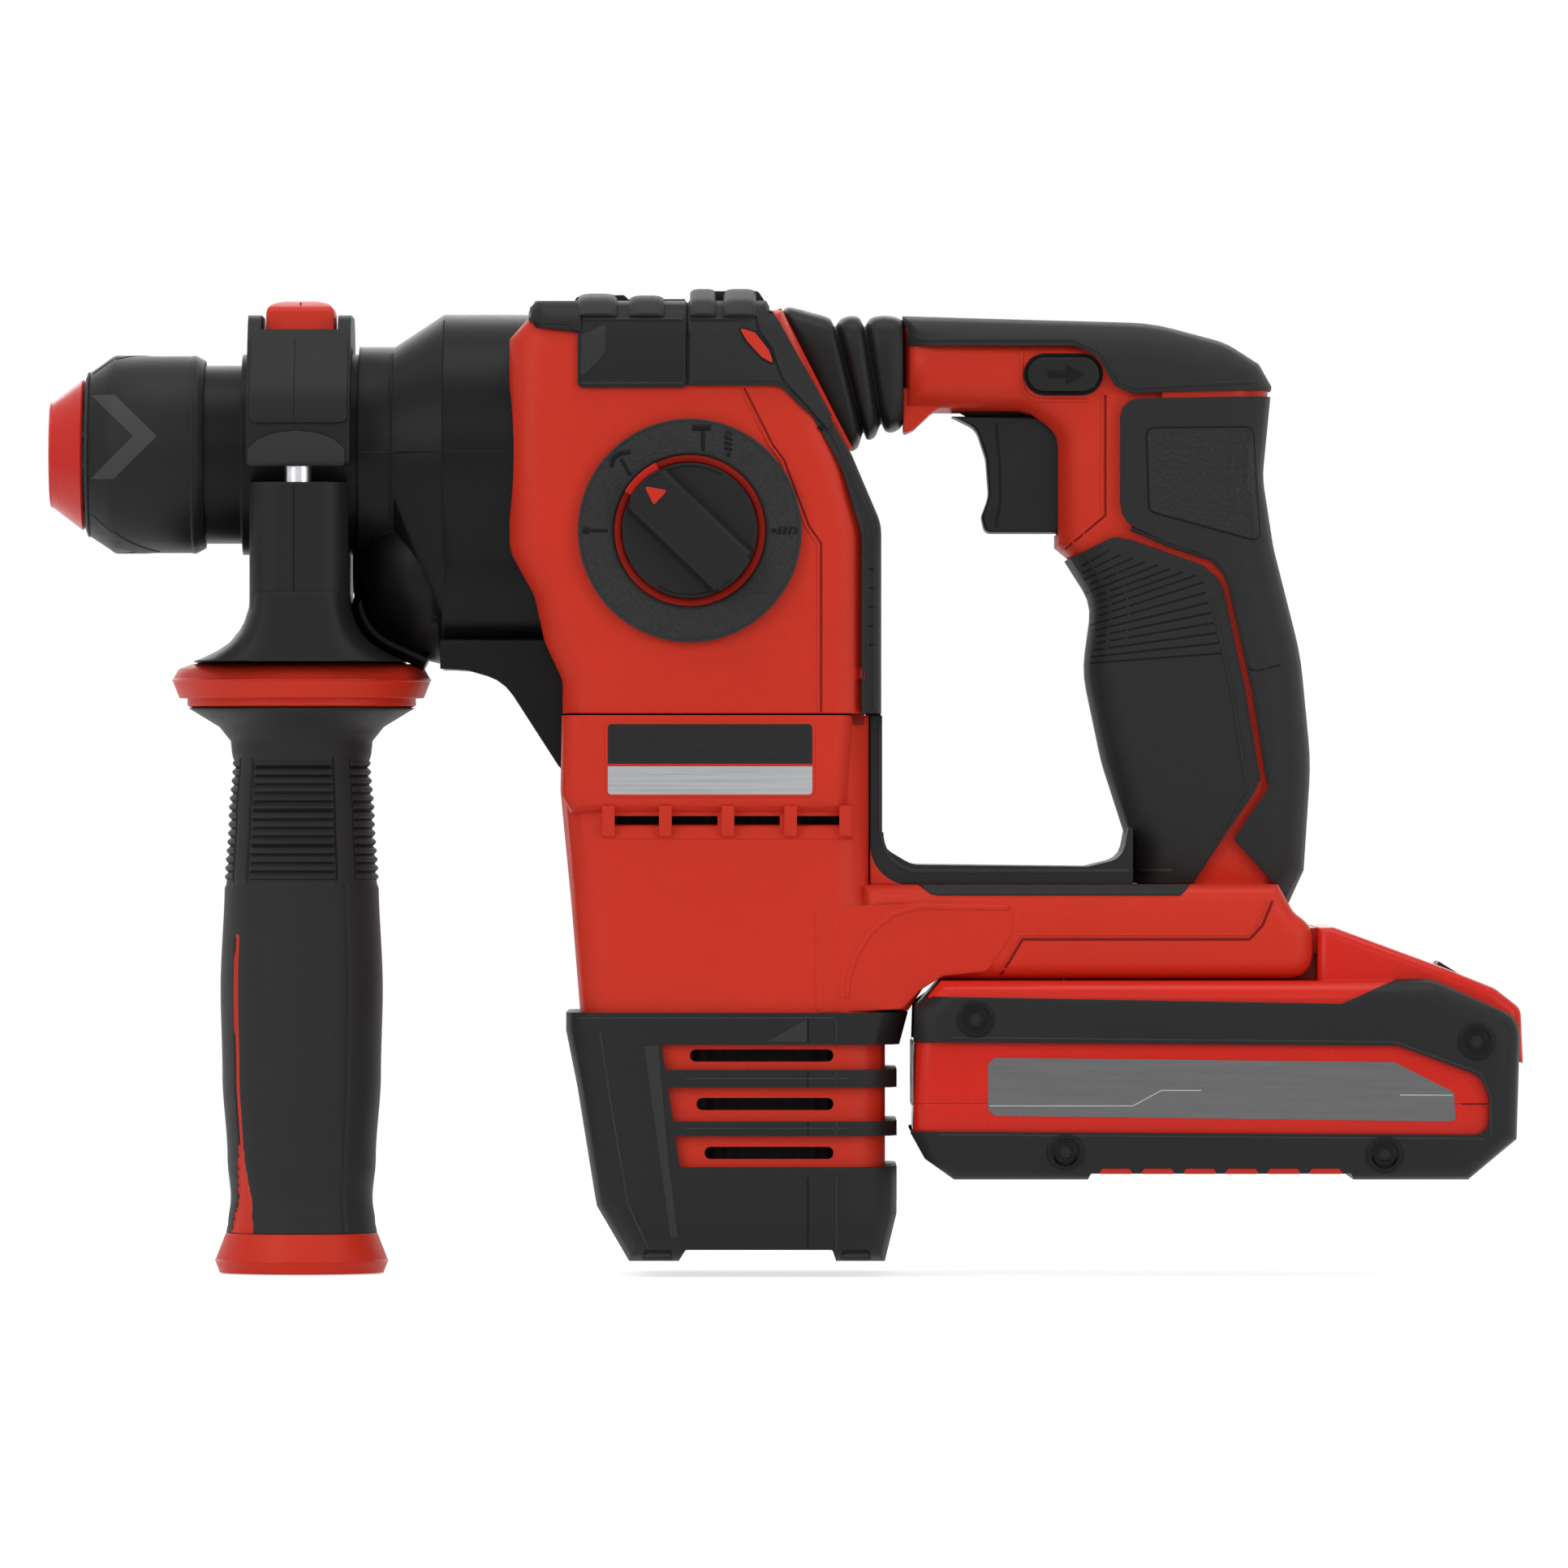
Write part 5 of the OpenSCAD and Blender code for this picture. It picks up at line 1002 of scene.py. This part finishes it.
def make_upper():
    def dress(flank):
        shell_name = flank.half("upper_shell")
        shell = flank.skin(shell_name)
        pad, cover = flank.skin("rear_pad"), flank.skin("top_cover")
        # Seam of the shell halves, a dark red line of painted shade, with a bead beside it.
        seam = [(148.9, 13.4), (154.9, 1.5), (157.3, -1.7), (162.6, -15.7), (165.2, -19.5), (165.2, -55.4)]
        flank.strip("shell_seam", seam, shell, "red_dark", 0.5, 0.06)
        flank.strip("shell_bead", shift(seam, -0.7, -0.2), shell, "red", 0.7, 0.14)
        # Lighter facets and edges of the cover and roof are painted highlights; the dark joint line between
        # cover and pad is painted shade.
        facet = [(114.2, 24.6), (119.6, 27.2), (119.4, 20.8), (116.9, 18.2), (114.2, 15.6)]
        flank.plate("cover_highlight", soften(facet, 0.6), cover, "facet", 0.12, 1.4)
        flank.strip("cover_edge", [(114.2, 14.5), (135.9, 14.5)], cover, "facet", 0.5, 0.1)
        flank.strip("cover_front", [(106.0, 26.9), (113.2, 26.3)], cover, "facet", 0.4, 0.1)
        roof = flank.skin("top_cover", "rear_pad")
        flank.strip("roof_edge", [(114.6, 28.2), (135.9, 28.2)], roof, "facet", 0.7, 0.16)
        flank.strip("roof_edge_pad", [(137.6, 28.2), (147.2, 28.2)], roof, "rubber", 0.8, 0.2)
        flank.strip("cover_joint", [(136.75, 14.4), (136.75, 27)], roof, "groove", 0.7, 0.05)
        flap = [(103.6, 30.4), (104.6, 26.3), (114.2, 25.3), (114.2, 31.6), (105, 31.6)]
        flank.plate("cover_flap", soften(flap, 0.5), flank.skin("top_cover", shell_name), "black", 0.5, 1.2)
        fringe = [(150.6, 30.4), (155.0, 29.4), (168.0, 6.0), (166.4, 4.6), (163.2, 8.4), (157.2, 15.2),
                  (155.9, 18.4), (154.8, 21.8), (152.0, 25.8)]
        flank.plate("pad_fringe", fringe, flank.skin("rear_pad", shell_name), "rubber", 0.45, 0.9)
        drop = soften([(147.4, 26.6), (151.2, 25.4), (154.2, 21.6), (155.4, 18.2), (152.4, 19.9),
                       (149.3, 23.3)], 1.0)
        flank.plate("pad_drop", drop, pad, "red", 0.14, 1.2)
        # Dark outline of the drop: painted shade.
        flank.strip("pad_drop_edge", closed(drop), pad, "groove", 0.45, 0.2)
        inner = [(138.2, 15.2), (156.0, 15.2), (160.6, 12.6), (164.5, 8.0), (168.3, 2.2), (170.6, -3.3),
                 (173.9, -11.6), (174.9, -17.5), (174.9, -55)]
        flank.strip("pad_bead", inner, pad, "rubber", 0.8, 0.22)
        # Lighter facet along the pad's outer edge: a painted highlight.
        outer = [(170.6, -1.4), (176.3, -15.2), (176.6, -20), (176.6, -55)]
        flank.strip("pad_facet", outer, pad, "facet", 0.7, 0.1)
        flank.plate("pad_notch", [(172.2, -45.4), (174.4, -46.2), (174.4, -48.2), (172.2, -48.8)],
                    flank.skin("rear_pad", "upper_shell_left", "upper_shell_right"), "red", 0.2, 0.8)
        # Rib grooves on the pad, drawn as dark lines of painted shade.
        for i, z in enumerate((-25, -29, -33, -37, -41)):
            flank.strip("pad_rib", [(175.3, z), (177.2, z)], pad, "groove", 0.5, 0.06, i=i)

    both(dress, "gear_unit")
    far_stars("upper_star", 29.7, "gear_unit", ((166, -46), (164.5, -7), (147, 21)))
    brow = [(-33.8, 28.7), (-33.1, 29.7), (-31.6, 31.0), (-29.4, 31.8), (-26.5, 32.4)]
    hump = [(0, -0.8), (0, 0.1), (0.05, 0.5), (0.14, 0.8), (0.3, 0.95), (0.7, 0.95), (0.86, 0.8), (0.95, 0.5),
            (1, 0.1), (1, -0.8)]
    # Raised bands over the roof, coloured with the painted highlight.
    for i, (x0, x1, top) in enumerate(((113.4, 121.8, 33.0), (124.4, 131.8, 32.6), (137.3, 142.8, 34.0),
                                       (144.4, 151.4, 34.0))):
        crest = brow + [(-22.5, top - 0.3), (-20.0, top), (-7.0, top)]
        over_roof(f"roof_band_{i}", crest, x0, x1, hump, "facet")
    # Dark band in the gap between the cover and the pad: painted shade.
    under = [(-35.0, 14.2), (-35.0, 24.4), (-34.0, 28.2), (-31.1, 31.1), (-27.0, 32.2), (-7.0, 32.2)]
    over_roof("roof_gap_shade", under, 136.1, 137.4, [(0, -1.4), (0, -0.4), (1, -0.4), (1, -1.4)], "groove")


def make_lower():
    plate_x, plate_z, line_z = (119.6, 163.6), (-73.1, -57.6), -66.6

    def dress(flank):
        side = flank.side
        half = flank.half("housing")
        shell, guard = flank.skin(half), flank.skin("motor_guard")
        for key, z0, z1 in (("silver", plate_z[0], line_z), ("label", line_z, plate_z[1])):
            half_plate = soften(rectangle(*plate_x, z0, z1), 0.5)
            flank.plate(f"{key}_plate", half_plate, shell, key, 0.12, 2.0)
        outline = soften(rectangle(*plate_x, *plate_z), 1.2)
        flank.strip("plate_line", [(plate_x[0] + 0.3, line_z), (plate_x[1] - 0.3, line_z)], shell,
                    "red_gloss", 0.6, 0.2)
        flank.strip("plate_rim", closed(outline), shell, "red", 0.7, 0.2)
        face = shell.at(145, -88)[0].y * side
        sill, rib = ([((face + y) * side, z) for y, z in section] for section in (
            ((-1.6, -82.2), (0.05, -82.4), (0.05, -80.6), (-0.4, -79.5), (-1.6, -79.2)),
            ((-1.0, -75.0), (2.6, -75.2), (2.0, -79.0), (0.9, -81.7), (-1.0, -82.4)),
        ))
        for i, (a, b) in enumerate(((121.6, 130.5), (133.7, 144.0), (146.8, 157.1), (160.2, 168.9))):
            prism(f"vent_sill_{flank.tag}_{i}", sill, "X", (a - 1.4, b + 1.4), "housing", "red")
        for i, x in enumerate((120.0, 132.1, 145.4, 158.7, 170.4)):
            prism(f"vent_rib_{flank.tag}_{i}", rib, "X", (x - 1.35, x + 1.35), "housing", "red")
        # Folded near black sheets behind the vents and guard windows: painted shade of the inside.
        for i, (x0, x1, z0, z1) in enumerate(((116, 171, -84, -75), (135, 170.5, -152.5, -125))):
            folds = [(x0 + 1.5 * k, (27.4 if k % 2 else 26.8) * side)
                     for k in range(int((x1 - x0) / 1.5) + 1)]
            sheet = folds + [(x, y - 0.5 * side) for x, y in reversed(folds)]
            prism(f"inner_screen_{flank.tag}_{i}", sheet, "Z", (z0, z1), "housing", "groove")
        # Dark red sheet under the belt's lip: painted shade in the gap.
        prism(f"belt_liner_{flank.tag}", rectangle(114, 174.4, 30.2 * side, 29.6 * side), "Z", (-58, -54.2),
              "housing", "red_dark")
        flank.strip("belt_line", [(112.6, -75.3), (170.4, -75.3)], shell, "red", 0.6, 0.12)
        # Lighter band, top and front edges, wedge, creases and bars of the guard: painted highlights; its
        # folds are painted shade, and its feet share that near black.
        band = [(127.6, -126.4), (130.6, -126.0), (132.8, -150.6), (134.9, -166.8), (133.2, -167.0),
                (130.9, -150.4)]
        flank.plate("guard_band_highlight", band, guard, "facet", 0.12, 1.4)
        flank.strip("guard_top", [(113.6, -120.3), (168.5, -120.3)], guard, "facet", 0.5, 0.1)
        front = [(118.2, -123), (120.8, -140), (124.2, -160), (128.6, -169.4)]
        flank.strip("guard_front", front, guard, "facet", 0.6, 0.14)
        wedge = [(153.4, -125.4), (162.2, -120.6), (162.2, -125.4)]
        flank.plate("guard_wedge", wedge, guard, "facet", 0.1, 1.2)
        for i, (z0, z1) in enumerate(((-120.5, -125.4), (-131.5, -134.8), (-142.2, -145.6),
                                      (-154.2, -170.6))):
            flank.strip("guard_crease", [(168.4, z0), (168.4, z1)], guard, "facet", 0.5, 0.1, i=i)
            flank.strip("guard_fold", [(162.4, z0), (162.4, z1)], guard, "groove", 0.4, 0.06, i=i)
        for i, z in enumerate((-133.2, -143.8)):
            flank.strip("guard_bar", [(136.4, z), (171.2, z)], guard, "facet", 0.5, 0.1, i=i)
        for i, x in enumerate((130.4, 172.6)):
            foot = soften([(x - 3.4, -171.8), (x + 3.4, -171.8), (x + 2.8, -169.8), (x - 2.8, -169.8)], 0.4)
            flank.plate("guard_foot", foot, guard, "groove", 0.1, 1.0, i=i)

    both(dress, "housing")
    far_stars("guard_star", 29.2, "housing", ((130, -157.5), (169, -158.5)))
    star_screw("foot_star", 189, 28.7, -104, FAR, "housing")


def make_handle():
    coil("trigger_spring", "trigger")

    def dress(flank):
        side = flank.side
        half = flank.half("housing")
        shell, rear, front, top = (flank.skin(n) for n in (half, "rear_grip", "front_grip", "top_grip"))
        step = [(208.0, 22.0), (208.0, 15.4), (208.8, 12.8), (211.0, 11.4), (222.0, 11.2)]
        flank.strip("handle_step", step, shell, "red", 0.9, 0.3)
        # Panel groove, a dark red line of painted shade beside a bead.
        panel = [(225.9, 12.4), (225.9, -13.3), (217.4, -20.4)]
        flank.strip("handle_groove", panel, shell, "red_dark", 0.5, 0.05)
        flank.strip("handle_bead", shift(panel, -0.7, 0.1), shell, "red", 0.8, 0.2)
        window = soften([(234.6, 5.4), (257.4, 5.6), (259.0, -18.9), (235.2, -12.4)], 1.8)
        flank.plate("grip_window", window, rear, "window", 0.1, 1.6)
        # The window's outline is painted shade.
        flank.strip("grip_window_edge", closed(window), rear, "groove", 0.5, 0.16)
        brim = [(186, 24.2), (219.0, 24.2), (224.8, 21.6), (228.8, 15.4), (231.8, 14.0), (257, 15.2)]
        flank.strip("cap_edge", brim, top, "rubber", 0.9, 0.22)
        # Grooves of the grips, drawn as dark lines of painted shade.
        count = 16
        for i in range(count):
            t = i / (count - 1)
            left = (219.4 + 3.6 * math.sin(math.pi * (0.12 + 0.5 * t)), -24.2 - 20.6 * t)
            u = 2 * t
            right = (226.4 + 20.0 * u, -20.9 - 5.6 * u) if u <= 1 else (242.2 + 4.2 * u, -10.3 - 16.2 * u)
            flank.strip("grip_groove", [left, right], front, "groove", 0.5, 0.05, i=i)
        flank.strip("grip_palm", [(254.4, -46.0), (258.6, -46.4), (263.2, -45.2)], rear, "groove", 0.4, 0.05)
        line = [(251.6, -30.6), (256.0, -51.4), (259.0, -70.6), (252.6, -81.6)]
        flank.strip("grip_edge", shift(line, -3.0, -0.6), front, "rubber", 0.9, 0.22)
        behind = [(231.4, -16.0), (239.5, -19.5), (248.6, -22.5), (251.4, -25.4), (252.7, -28.6),
                  (257.7, -50.8), (260.8, -70)]
        ahead = [(230.4, -18.7), (238.6, -21.6), (246.4, -24.4), (249.2, -26.8), (250.5, -29.2),
                 (255.3, -51.2), (258.4, -70)]
        flank.strip("line_behind", offset(behind, -0.1), shell, "rubber", 1.0, 1.95)
        flank.strip("line_ahead", offset(ahead, 0.1), shell, "rubber", 1.0, 1.95)
        ends = (220.9, 90, -90), (212.9, 270, 90)
        inner, outer = ([q for x, a0, a1 in ends for q in arc(x, 16.8, r, a0, a1, 12)] for r in (3.66, 4.5))
        rows = ((inner, 15.2), (inner, 16.12), (outer, 16.12), (outer, 15.2))
        verts = [(x, y * side, z) for loop, y in rows for x, z in loop]
        piece(f"switch_bezel_{flank.tag}", verts, quads(4, len(inner), True), "housing", "groove")
        # Step of the foot, a dark red line of painted shade beside a bead.
        ledge = [(203.4, -111.2), (208, -103.6), (256.2, -103.6), (259, -100.6), (261.1, -95.4)]
        flank.strip("foot_step", ledge, shell, "red_dark", 0.7, 0.06)
        bead = [(202.6, -110.6), (207.4, -102.6), (255.8, -102.6), (258.0, -100.0), (260, -95.4)]
        flank.strip("foot_bead", bead, shell, "red", 0.7, 0.16)
        web = soften([(164, -97), (188, -95.6), (206, -96.4), (206, -102.4), (200.4, -110.4), (191, -111.4),
                      (186, -114.6), (182.4, -118.4), (164, -119.4)], 1.5)
        bridge = Bridge(shell, 164, 206, -99)
        flank.plate("foot_web", web, bridge, "red", 0.06, 2.5)
        swage = [(170.7, -116), (170.9, -112), (172.6, -107), (175.6, -102.2), (180.4, -98.2), (186.2, -96.6),
                 (205, -96.9)]
        flank.strip("foot_swage", swage, bridge, "red", 1.3, 0.3)
        switch = flank.skin("direction_switch")
        arrow = [(213.5, 16.0), (217.4, 16.0), (217.4, 14.6), (221.3, 16.8), (217.4, 19.0), (217.4, 17.6),
                 (213.5, 17.6)]
        flank.plate("direction_arrow", arrow, switch, "groove", 0.12, 1.2, body="direction_switch")
        corner = arc(184.4, -83.4, 8.8, 180, 270, 14) + [(175.7, -92.1)]
        flank.plate("loop_corner", corner, front, "red", 0.2, 2.0)
        sole = [(186, -92.2), (188.5, -94.0), (190, -94.3), (241.6, -94.3), (243.6, -92.2)]
        flank.plate("loop_sole", sole, shell, "rubber", 0.25, 1.0)
        # Inner edge of the loop's lining, in the painted highlight grey.
        lining = [(177.7, -58), (177.7, -81)] + arc(186.2, -81, 8.2, 180, 270, 14) + [(240, -89.2)]
        flank.strip("loop_edge", lining, front, "facet", 1.0, 0.16)
        key = flank.skin("trigger")
        parting = [(202.6, 6.4), (203.4, -2), (203.6, -10), (202.6, -15.6)]
        flank.strip("trigger_parting", parting, key, "case", 0.6, 0.1, body="trigger")

    both(dress, "housing")
    rim = [(238.0, 17.3), (254.5, 17.2), (257.6, 15.2), (259.5, 12.6), (260.4, 8.5), (260.8, 6.0)]
    prism("cap_band", rim + [(x, -y) for x, y in reversed(rim)], "Z", (11.6, 13.6), "housing", "red")
    # Dark sheets in the slit under the rear pad and in the top of the trigger's opening: painted shade.
    prism("loop_slit_shade", rectangle(174.9, 177.9, -56.1, -55.68), "Y", (-24.5, 24.5), "housing", "groove")
    prism("trigger_slot_shade", [(194.5, 9.3), (213, 9.1), (213, 8.2), (196.5, 8.2)], "Y", (-7, 7), "housing",
          "groove")
    far_stars("handle_star", 13.7, "housing", ((240, 20), (244, -36), (250, -74)))


def make_bellows():
    """Rubber bellows with three lobes, leaning from the upper shell's back edge to the handle's front."""
    rings = []
    folds = ((156.9, 30.3, 171.3, 1.2, 14.2), (158.3, 31.5, 172.0, 0.9, 14.9),
             (163.0, 30.4, 172.8, 1.3, 15.1), (166.9, 29.2, 173.4, 2.2, 14.8),
             (168.1, 27.4, 174.3, 4.8, 12.8), (169.4, 28.9, 175.0, 3.5, 14.6),
             (171.4, 29.6, 175.9, 3.3, 15.1), (173.3, 29.3, 177.0, 4.2, 14.6),
             (174.5, 27.4, 178.1, 6.6, 12.8), (175.8, 29.1, 179.0, 5.2, 14.6),
             (178.4, 29.7, 180.3, 4.8, 15.1), (181.2, 29.4, 181.8, 5.4, 14.6),
             (182.7, 28.6, 182.7, 6.4, 14.0))
    count = 5
    for k in range(len(folds) - 1):
        p0, p1, p2, p3 = (Vector(folds[min(max(k + d, 0), len(folds) - 1)]) for d in (-1, 0, 1, 2))
        for i in range(count if k < len(folds) - 2 else count + 1):
            t = i / count
            bend = (p0 * 2 - p1 * 5 + p2 * 4 - p3) * t**2 + (p1 * 3 - p0 - p2 * 3 + p3) * t**3
            q = (p1 * 2 + (p2 - p0) * t + bend) / 2
            rings.append([(q[0] * (0.5 + w) + q[2] * (0.5 - w), y, q[1] * (0.5 + w) + q[3] * (0.5 - w))
                          for w, y in squircle(0.5, q[4], 0.42, 56)])
    obj = loft("bellows_skin", rings, "gear_unit", "bellows")
    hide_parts("bellows")
    stripe = [(155.9, 30.6), (171.1, 0.7)]
    rings = [[(x + u, y, z + u / 2) for u, y in squircle(0.9, 15.6, 0.3, 32)] for x, z in stripe]
    loft("bellows_stripe", rings, "gear_unit", "red")
    coil("damper_spring", "gear_unit")
    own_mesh(obj)


def make_battery():
    def dress(flank):
        side = flank.side
        case = flank.skin("battery_case_top", "battery_case_bottom")
        bumper = flank.skin("battery_bumper")
        label = soften([(200.6, -129.9), (202.0, -128.7), (286.8, -129.6), (299.4, -136.0), (299.8, -141.8),
                        (298.4, -142.2), (202.0, -141.0), (200.6, -139.7)], 0.5)
        flank.plate("battery_label", label, case, "grey_label", 0.12, 1.6)
        for i, line in enumerate(([(200.9, -138.9), (231.3, -138.9), (237.4, -135.6), (245.8, -135.6)],
                                  [(288.0, -136.6), (299.2, -136.6)])):
            flank.strip("label_line", line, case, "silver", 0.35, 0.16, i=i)
        boss = [(4.0, -0.4), (4.0, 0.15), (3.6, 0.4), (3.0, 0.4), (2.7, -0.1)]
        for i, (x, z) in enumerate(((197.9, -120.4), (304.2, -125.2), (217.0, -148.8), (284.7, -149.3))):
            y = bumper.at(x, z)[0].y * side
            lathe(f"battery_boss_{flank.tag}_{i}", boss, along_y(x, y * side, z, side), "battery", "case", 40)
            star_screw(f"battery_star_{flank.tag}_{i}", x, (y + 0.22) * side, z, side, "battery", 2.6, 0.6)
        # Lighter edges of the bumper: painted highlights.
        edge = [(193, -124.4), (286.9, -125.3), (305.0, -131.9), (307.2, -136.9), (307.2, -145)]
        flank.strip("battery_edge", edge, bumper, "facet", 0.5, 0.1)
        flank.strip("battery_low_edge", [(190, -145.0), (305.6, -145.9)], bumper, "facet", 0.5, 0.1)
        # Seam of the case, a dark red line of painted shade.
        flank.strip("battery_seam", [(301.0, -138.5), (306.4, -138.5)], case, "red_dark", 0.4, 0.05)
        for i in range(6):
            x = 224.0 + 8.9 * i
            hole = soften([(x, -153.25), (x + 7.4, -153.25), (x + 6.6, -152.2), (x + 0.8, -152.2)], 0.5)
            flank.plate("battery_scallop", hole, bumper, "red_gloss", 0.15, 1.0, i=i)

    both(dress, "battery")
    sticker = soften(rectangle(-24, 24, -125.5, -139), 1.5)
    prism("battery_sticker", sticker, "X", (184.45, 184.9), "battery", "pale")


# Operators

class HAMMER_OT_frame(bpy.types.Operator):
    """Materials and smooth shading of the CAD nodes"""

    bl_idname = "hammer.frame"
    bl_label = "Frame materials"

    def execute(self, context):
        make_materials(context.scene.hammer_looks)
        dress_frame(context.scene.hammer_looks)
        return {"FINISHED"}


class HAMMER_OT_stage(bpy.types.Operator):
    """Floor, studio light, white background and camera"""

    bl_idname = "hammer.stage"
    bl_label = "Stage"

    def execute(self, context):
        make_stage(context.scene.hammer_stage)
        return {"FINISHED"}


class HAMMER_OT_chuck(bpy.types.Operator):
    """Chevrons, rims and rings of the tool holder"""

    bl_idname = "hammer.chuck"
    bl_label = "Tool holder"

    def execute(self, context):
        make_chuck()
        return {"FINISHED"}


class HAMMER_OT_clamp(bpy.types.Operator):
    """Lugs, cheeks, parting lines and skirt of the side handle's clamp"""

    bl_idname = "hammer.clamp"
    bl_label = "Side handle clamp"

    def execute(self, context):
        make_clamp()
        return {"FINISHED"}


class HAMMER_OT_grip(bpy.types.Operator):
    """Ribbed rubber grip of the side handle"""

    bl_idname = "hammer.grip"
    bl_label = "Side grip"

    def execute(self, context):
        make_grip(context.scene.hammer_grip)
        return {"FINISHED"}


class HAMMER_OT_gear_case(bpy.types.Operator):
    """Seams, rings and lobe rib of the gear case"""

    bl_idname = "hammer.gear_case"
    bl_label = "Gear case"

    def execute(self, context):
        make_gear_case()
        return {"FINISHED"}


class HAMMER_OT_dial(bpy.types.Operator):
    """Rings, bar, pointer and icons of the mode dial"""

    bl_idname = "hammer.dial"
    bl_label = "Mode dial"

    def execute(self, context):
        make_dial()
        return {"FINISHED"}


class HAMMER_OT_upper(bpy.types.Operator):
    """Seams, painted highlight facets, pads and roof bands of the upper shells"""

    bl_idname = "hammer.upper"
    bl_label = "Upper shells"

    def execute(self, context):
        make_upper()
        return {"FINISHED"}


class HAMMER_OT_lower(bpy.types.Operator):
    """Plates, vents and guard of the motor housing"""

    bl_idname = "hammer.lower"
    bl_label = "Motor housing"

    def execute(self, context):
        make_lower()
        return {"FINISHED"}


class HAMMER_OT_handle(bpy.types.Operator):
    """Panels, grooves, windows and foot of the handle"""

    bl_idname = "hammer.handle"
    bl_label = "Handle"

    def execute(self, context):
        make_handle()
        return {"FINISHED"}


class HAMMER_OT_bellows(bpy.types.Operator):
    """Folds and stripe of the bellows, and the damper spring"""

    bl_idname = "hammer.bellows"
    bl_label = "Bellows"

    def execute(self, context):
        make_bellows()
        return {"FINISHED"}


class HAMMER_OT_battery(bpy.types.Operator):
    """Label, screws and edges of the battery"""

    bl_idname = "hammer.battery"
    bl_label = "Battery"

    def execute(self, context):
        make_battery()
        return {"FINISHED"}


class HAMMER_PT_panel(bpy.types.Panel):
    """Settings of the rotary hammer's looks"""

    bl_idname = "HAMMER_PT_panel"
    bl_label = "Rotary hammer"
    bl_space_type = "VIEW_3D"
    bl_region_type = "UI"
    bl_category = "Rotary hammer"

    def draw(self, context):
        for name in ("hammer_looks", "hammer_grip", "hammer_stage"):
            settings = getattr(context.scene, name)
            for key in settings.bl_rna.properties.keys():
                if key not in ("rna_type", "name"):
                    self.layout.prop(settings, key)
        for operator in OPERATORS:
            self.layout.operator(operator.bl_idname)


OPERATORS = (
    HAMMER_OT_frame, HAMMER_OT_stage, HAMMER_OT_chuck, HAMMER_OT_clamp, HAMMER_OT_grip,
    HAMMER_OT_gear_case, HAMMER_OT_dial, HAMMER_OT_upper, HAMMER_OT_lower, HAMMER_OT_handle,
    HAMMER_OT_bellows, HAMMER_OT_battery,
)
CLASSES = (LookSettings, GripSettings, StageSettings, *OPERATORS, HAMMER_PT_panel)


def register():
    for c in CLASSES:
        bpy.utils.register_class(c)
    bpy.types.Scene.hammer_looks = PointerProperty(type=LookSettings)
    bpy.types.Scene.hammer_grip = PointerProperty(type=GripSettings)
    bpy.types.Scene.hammer_stage = PointerProperty(type=StageSettings)


def unregister():
    del bpy.types.Scene.hammer_looks
    del bpy.types.Scene.hammer_grip
    del bpy.types.Scene.hammer_stage
    for c in reversed(CLASSES):
        bpy.utils.unregister_class(c)


def main():
    register()
    for operator in OPERATORS:
        family, name = operator.bl_idname.split(".")
        getattr(getattr(bpy.ops, family), name)()


if __name__ == "__main__":
    main()
